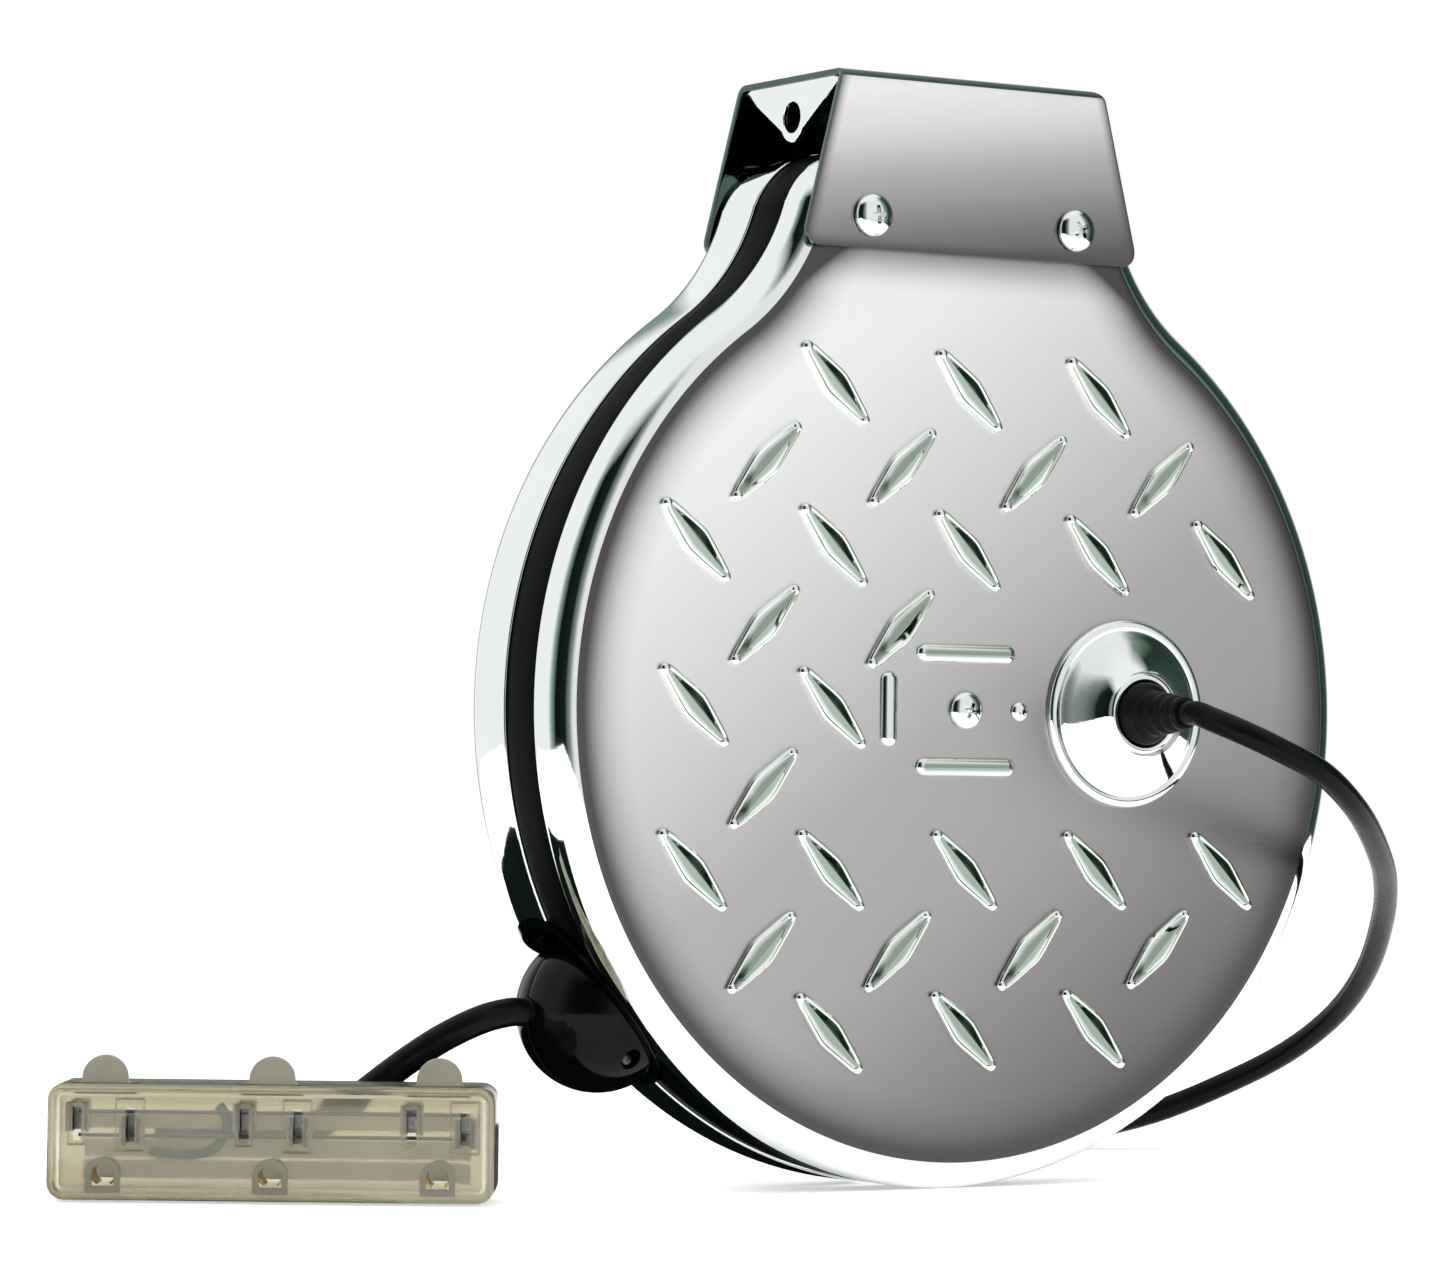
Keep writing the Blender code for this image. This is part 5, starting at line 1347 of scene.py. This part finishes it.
def setWorld():
    world = bpy.data.worlds.new("studio")
    bpy.context.scene.world = world
    world.use_nodes = True
    tree = world.node_tree
    tree.nodes.clear()
    ahead = addNode(tree, "ShaderNodeTexCoord").outputs["Generated"]
    axes = addNode(tree, "ShaderNodeSeparateXYZ", {"Vector": ahead})
    front = addNode(tree, "ShaderNodeMath", {0: axes.outputs["Y"], 1: -1.0}, operation="MULTIPLY")
    angle = addNode(tree, "ShaderNodeMath",
                    {0: axes.outputs["X"], 1: front.outputs[0]}, operation="ARCTAN2")
    turn = addNode(tree, "ShaderNodeMapRange",
                   {"Value": angle.outputs[0], "From Min": -math.pi, "From Max": math.pi})
    around = addNode(tree, "ShaderNodeValToRGB", {"Fac": turn.outputs["Result"]},
                     stops=[(spot, linear(tone)) for spot, tone in studio["round"]])
    rise = addNode(tree, "ShaderNodeMapRange",
                   {"Value": axes.outputs["Z"], "From Min": -1.0, "From Max": 1.0})
    room = around.outputs["Color"]
    for zone, tone in (("above", (1, 1, 1, 1)), ("below", linear(studio["dark"]))):
        share = addNode(tree, "ShaderNodeValToRGB", {"Fac": rise.outputs["Result"]},
                        stops=[(spot, linear(grey)) for spot, grey in studio[zone]])
        room = addNode(tree, "ShaderNodeMix", {0: share.outputs["Color"], 6: room, 7: tone},
                       data_type="RGBA").outputs[2]
    rays = addNode(tree, "ShaderNodeLightPath")
    seen = addNode(tree, "ShaderNodeMath", {0: rays.outputs["Is Camera Ray"],
                                            1: rays.outputs["Is Transmission Ray"]}, operation="MAXIMUM")
    soft = addNode(tree, "ShaderNodeBackground",
                   {"Color": linear(studio["soft"]), "Strength": studio["softLevel"]})
    mirrored = addNode(tree, "ShaderNodeBackground", {"Color": room, "Strength": 1.0})
    white = addNode(tree, "ShaderNodeBackground", {"Color": (1, 1, 1, 1), "Strength": 1.0})
    first = addNode(tree, "ShaderNodeMixShader",
                    {0: rays.outputs["Is Glossy Ray"], 1: soft.outputs[0], 2: mirrored.outputs[0]})
    last = addNode(tree, "ShaderNodeMixShader",
                   {0: seen.outputs[0], 1: first.outputs[0], 2: white.outputs[0]})
    addNode(tree, "ShaderNodeOutputWorld", {"Surface": last.outputs[0]})


floorLook = {"half": 0.9, "drop": 0.0002, "tone": "#F2F2F2", "rough": 0.9, "lift": 0.5}


# pale floor: lit by the lamps, lifted to white where the camera, metal or clear plastic sees it
def setFloor():
    finish, tree, shader, coords = startFinish("paleStudioFloor")
    rays = addNode(tree, "ShaderNodeLightPath")
    seen = rays.outputs["Is Camera Ray"]
    for ray in ("Is Glossy Ray", "Is Transmission Ray"):
        seen = addNode(tree, "ShaderNodeMath", {0: seen, 1: rays.outputs[ray]},
                       operation="MAXIMUM").outputs[0]
    lift = addNode(tree, "ShaderNodeMath", {0: seen, 1: floorLook["lift"]}, operation="MULTIPLY")
    shader.inputs["Base Color"].default_value = linear(floorLook["tone"])
    shader.inputs["Roughness"].default_value = floorLook["rough"]
    shader.inputs["Emission Color"].default_value = (1, 1, 1, 1)
    tree.links.new(lift.outputs[0], shader.inputs["Emission Strength"])
    size, low = floorLook["half"], cadBox[0][2] - floorLook["drop"]
    mesh = bpy.data.meshes.new("studioFloor")
    mesh.from_pydata([(-size, -size, low), (size, -size, low), (size, size, low), (-size, size, low)], [],
                     [(0, 1, 2, 3)])
    mesh.materials.append(finish)
    floor = intoScene("studioFloor", mesh)


flag = {"left": -0.3, "right": 0.12, "nearLeft": -0.03, "nearRight": 0.025, "far": 0.24, "lift": 0.0004}


# black flag on the floor behind the reel: only the chrome sees it, and gets its dark lower edge
def setFlag():
    finish = mottledFinish("blackFlagCloth", {
        "tone": "#0B130F", "other": "#121B16", "patch": 30.0, "grit": 1.0, "smooth": 0.9, "rough": 1.0,
        "bump": 0.1, "shader": {"Specular IOR Level": 0.0}})
    low = cadBox[0][2] + flag["lift"]
    mesh = bpy.data.meshes.new("blackFlag")
    corners = ((flag["left"], flag["nearLeft"]), (flag["right"], flag["nearRight"]),
               (flag["right"], flag["far"]), (flag["left"], flag["far"]))
    mesh.from_pydata([(x, y, low) for x, y in corners], [], [(0, 1, 2, 3)])
    mesh.materials.append(finish)
    cloth = intoScene("blackFlag", mesh)
    cloth.visible_camera = False
    cloth.visible_diffuse = False
    cloth.visible_transmission = False
    cloth.visible_shadow = False


setLights()
setWorld()
setFloor()
setFlag()
bpy.context.scene.view_settings.view_transform = "Standard"
print("studio lit")
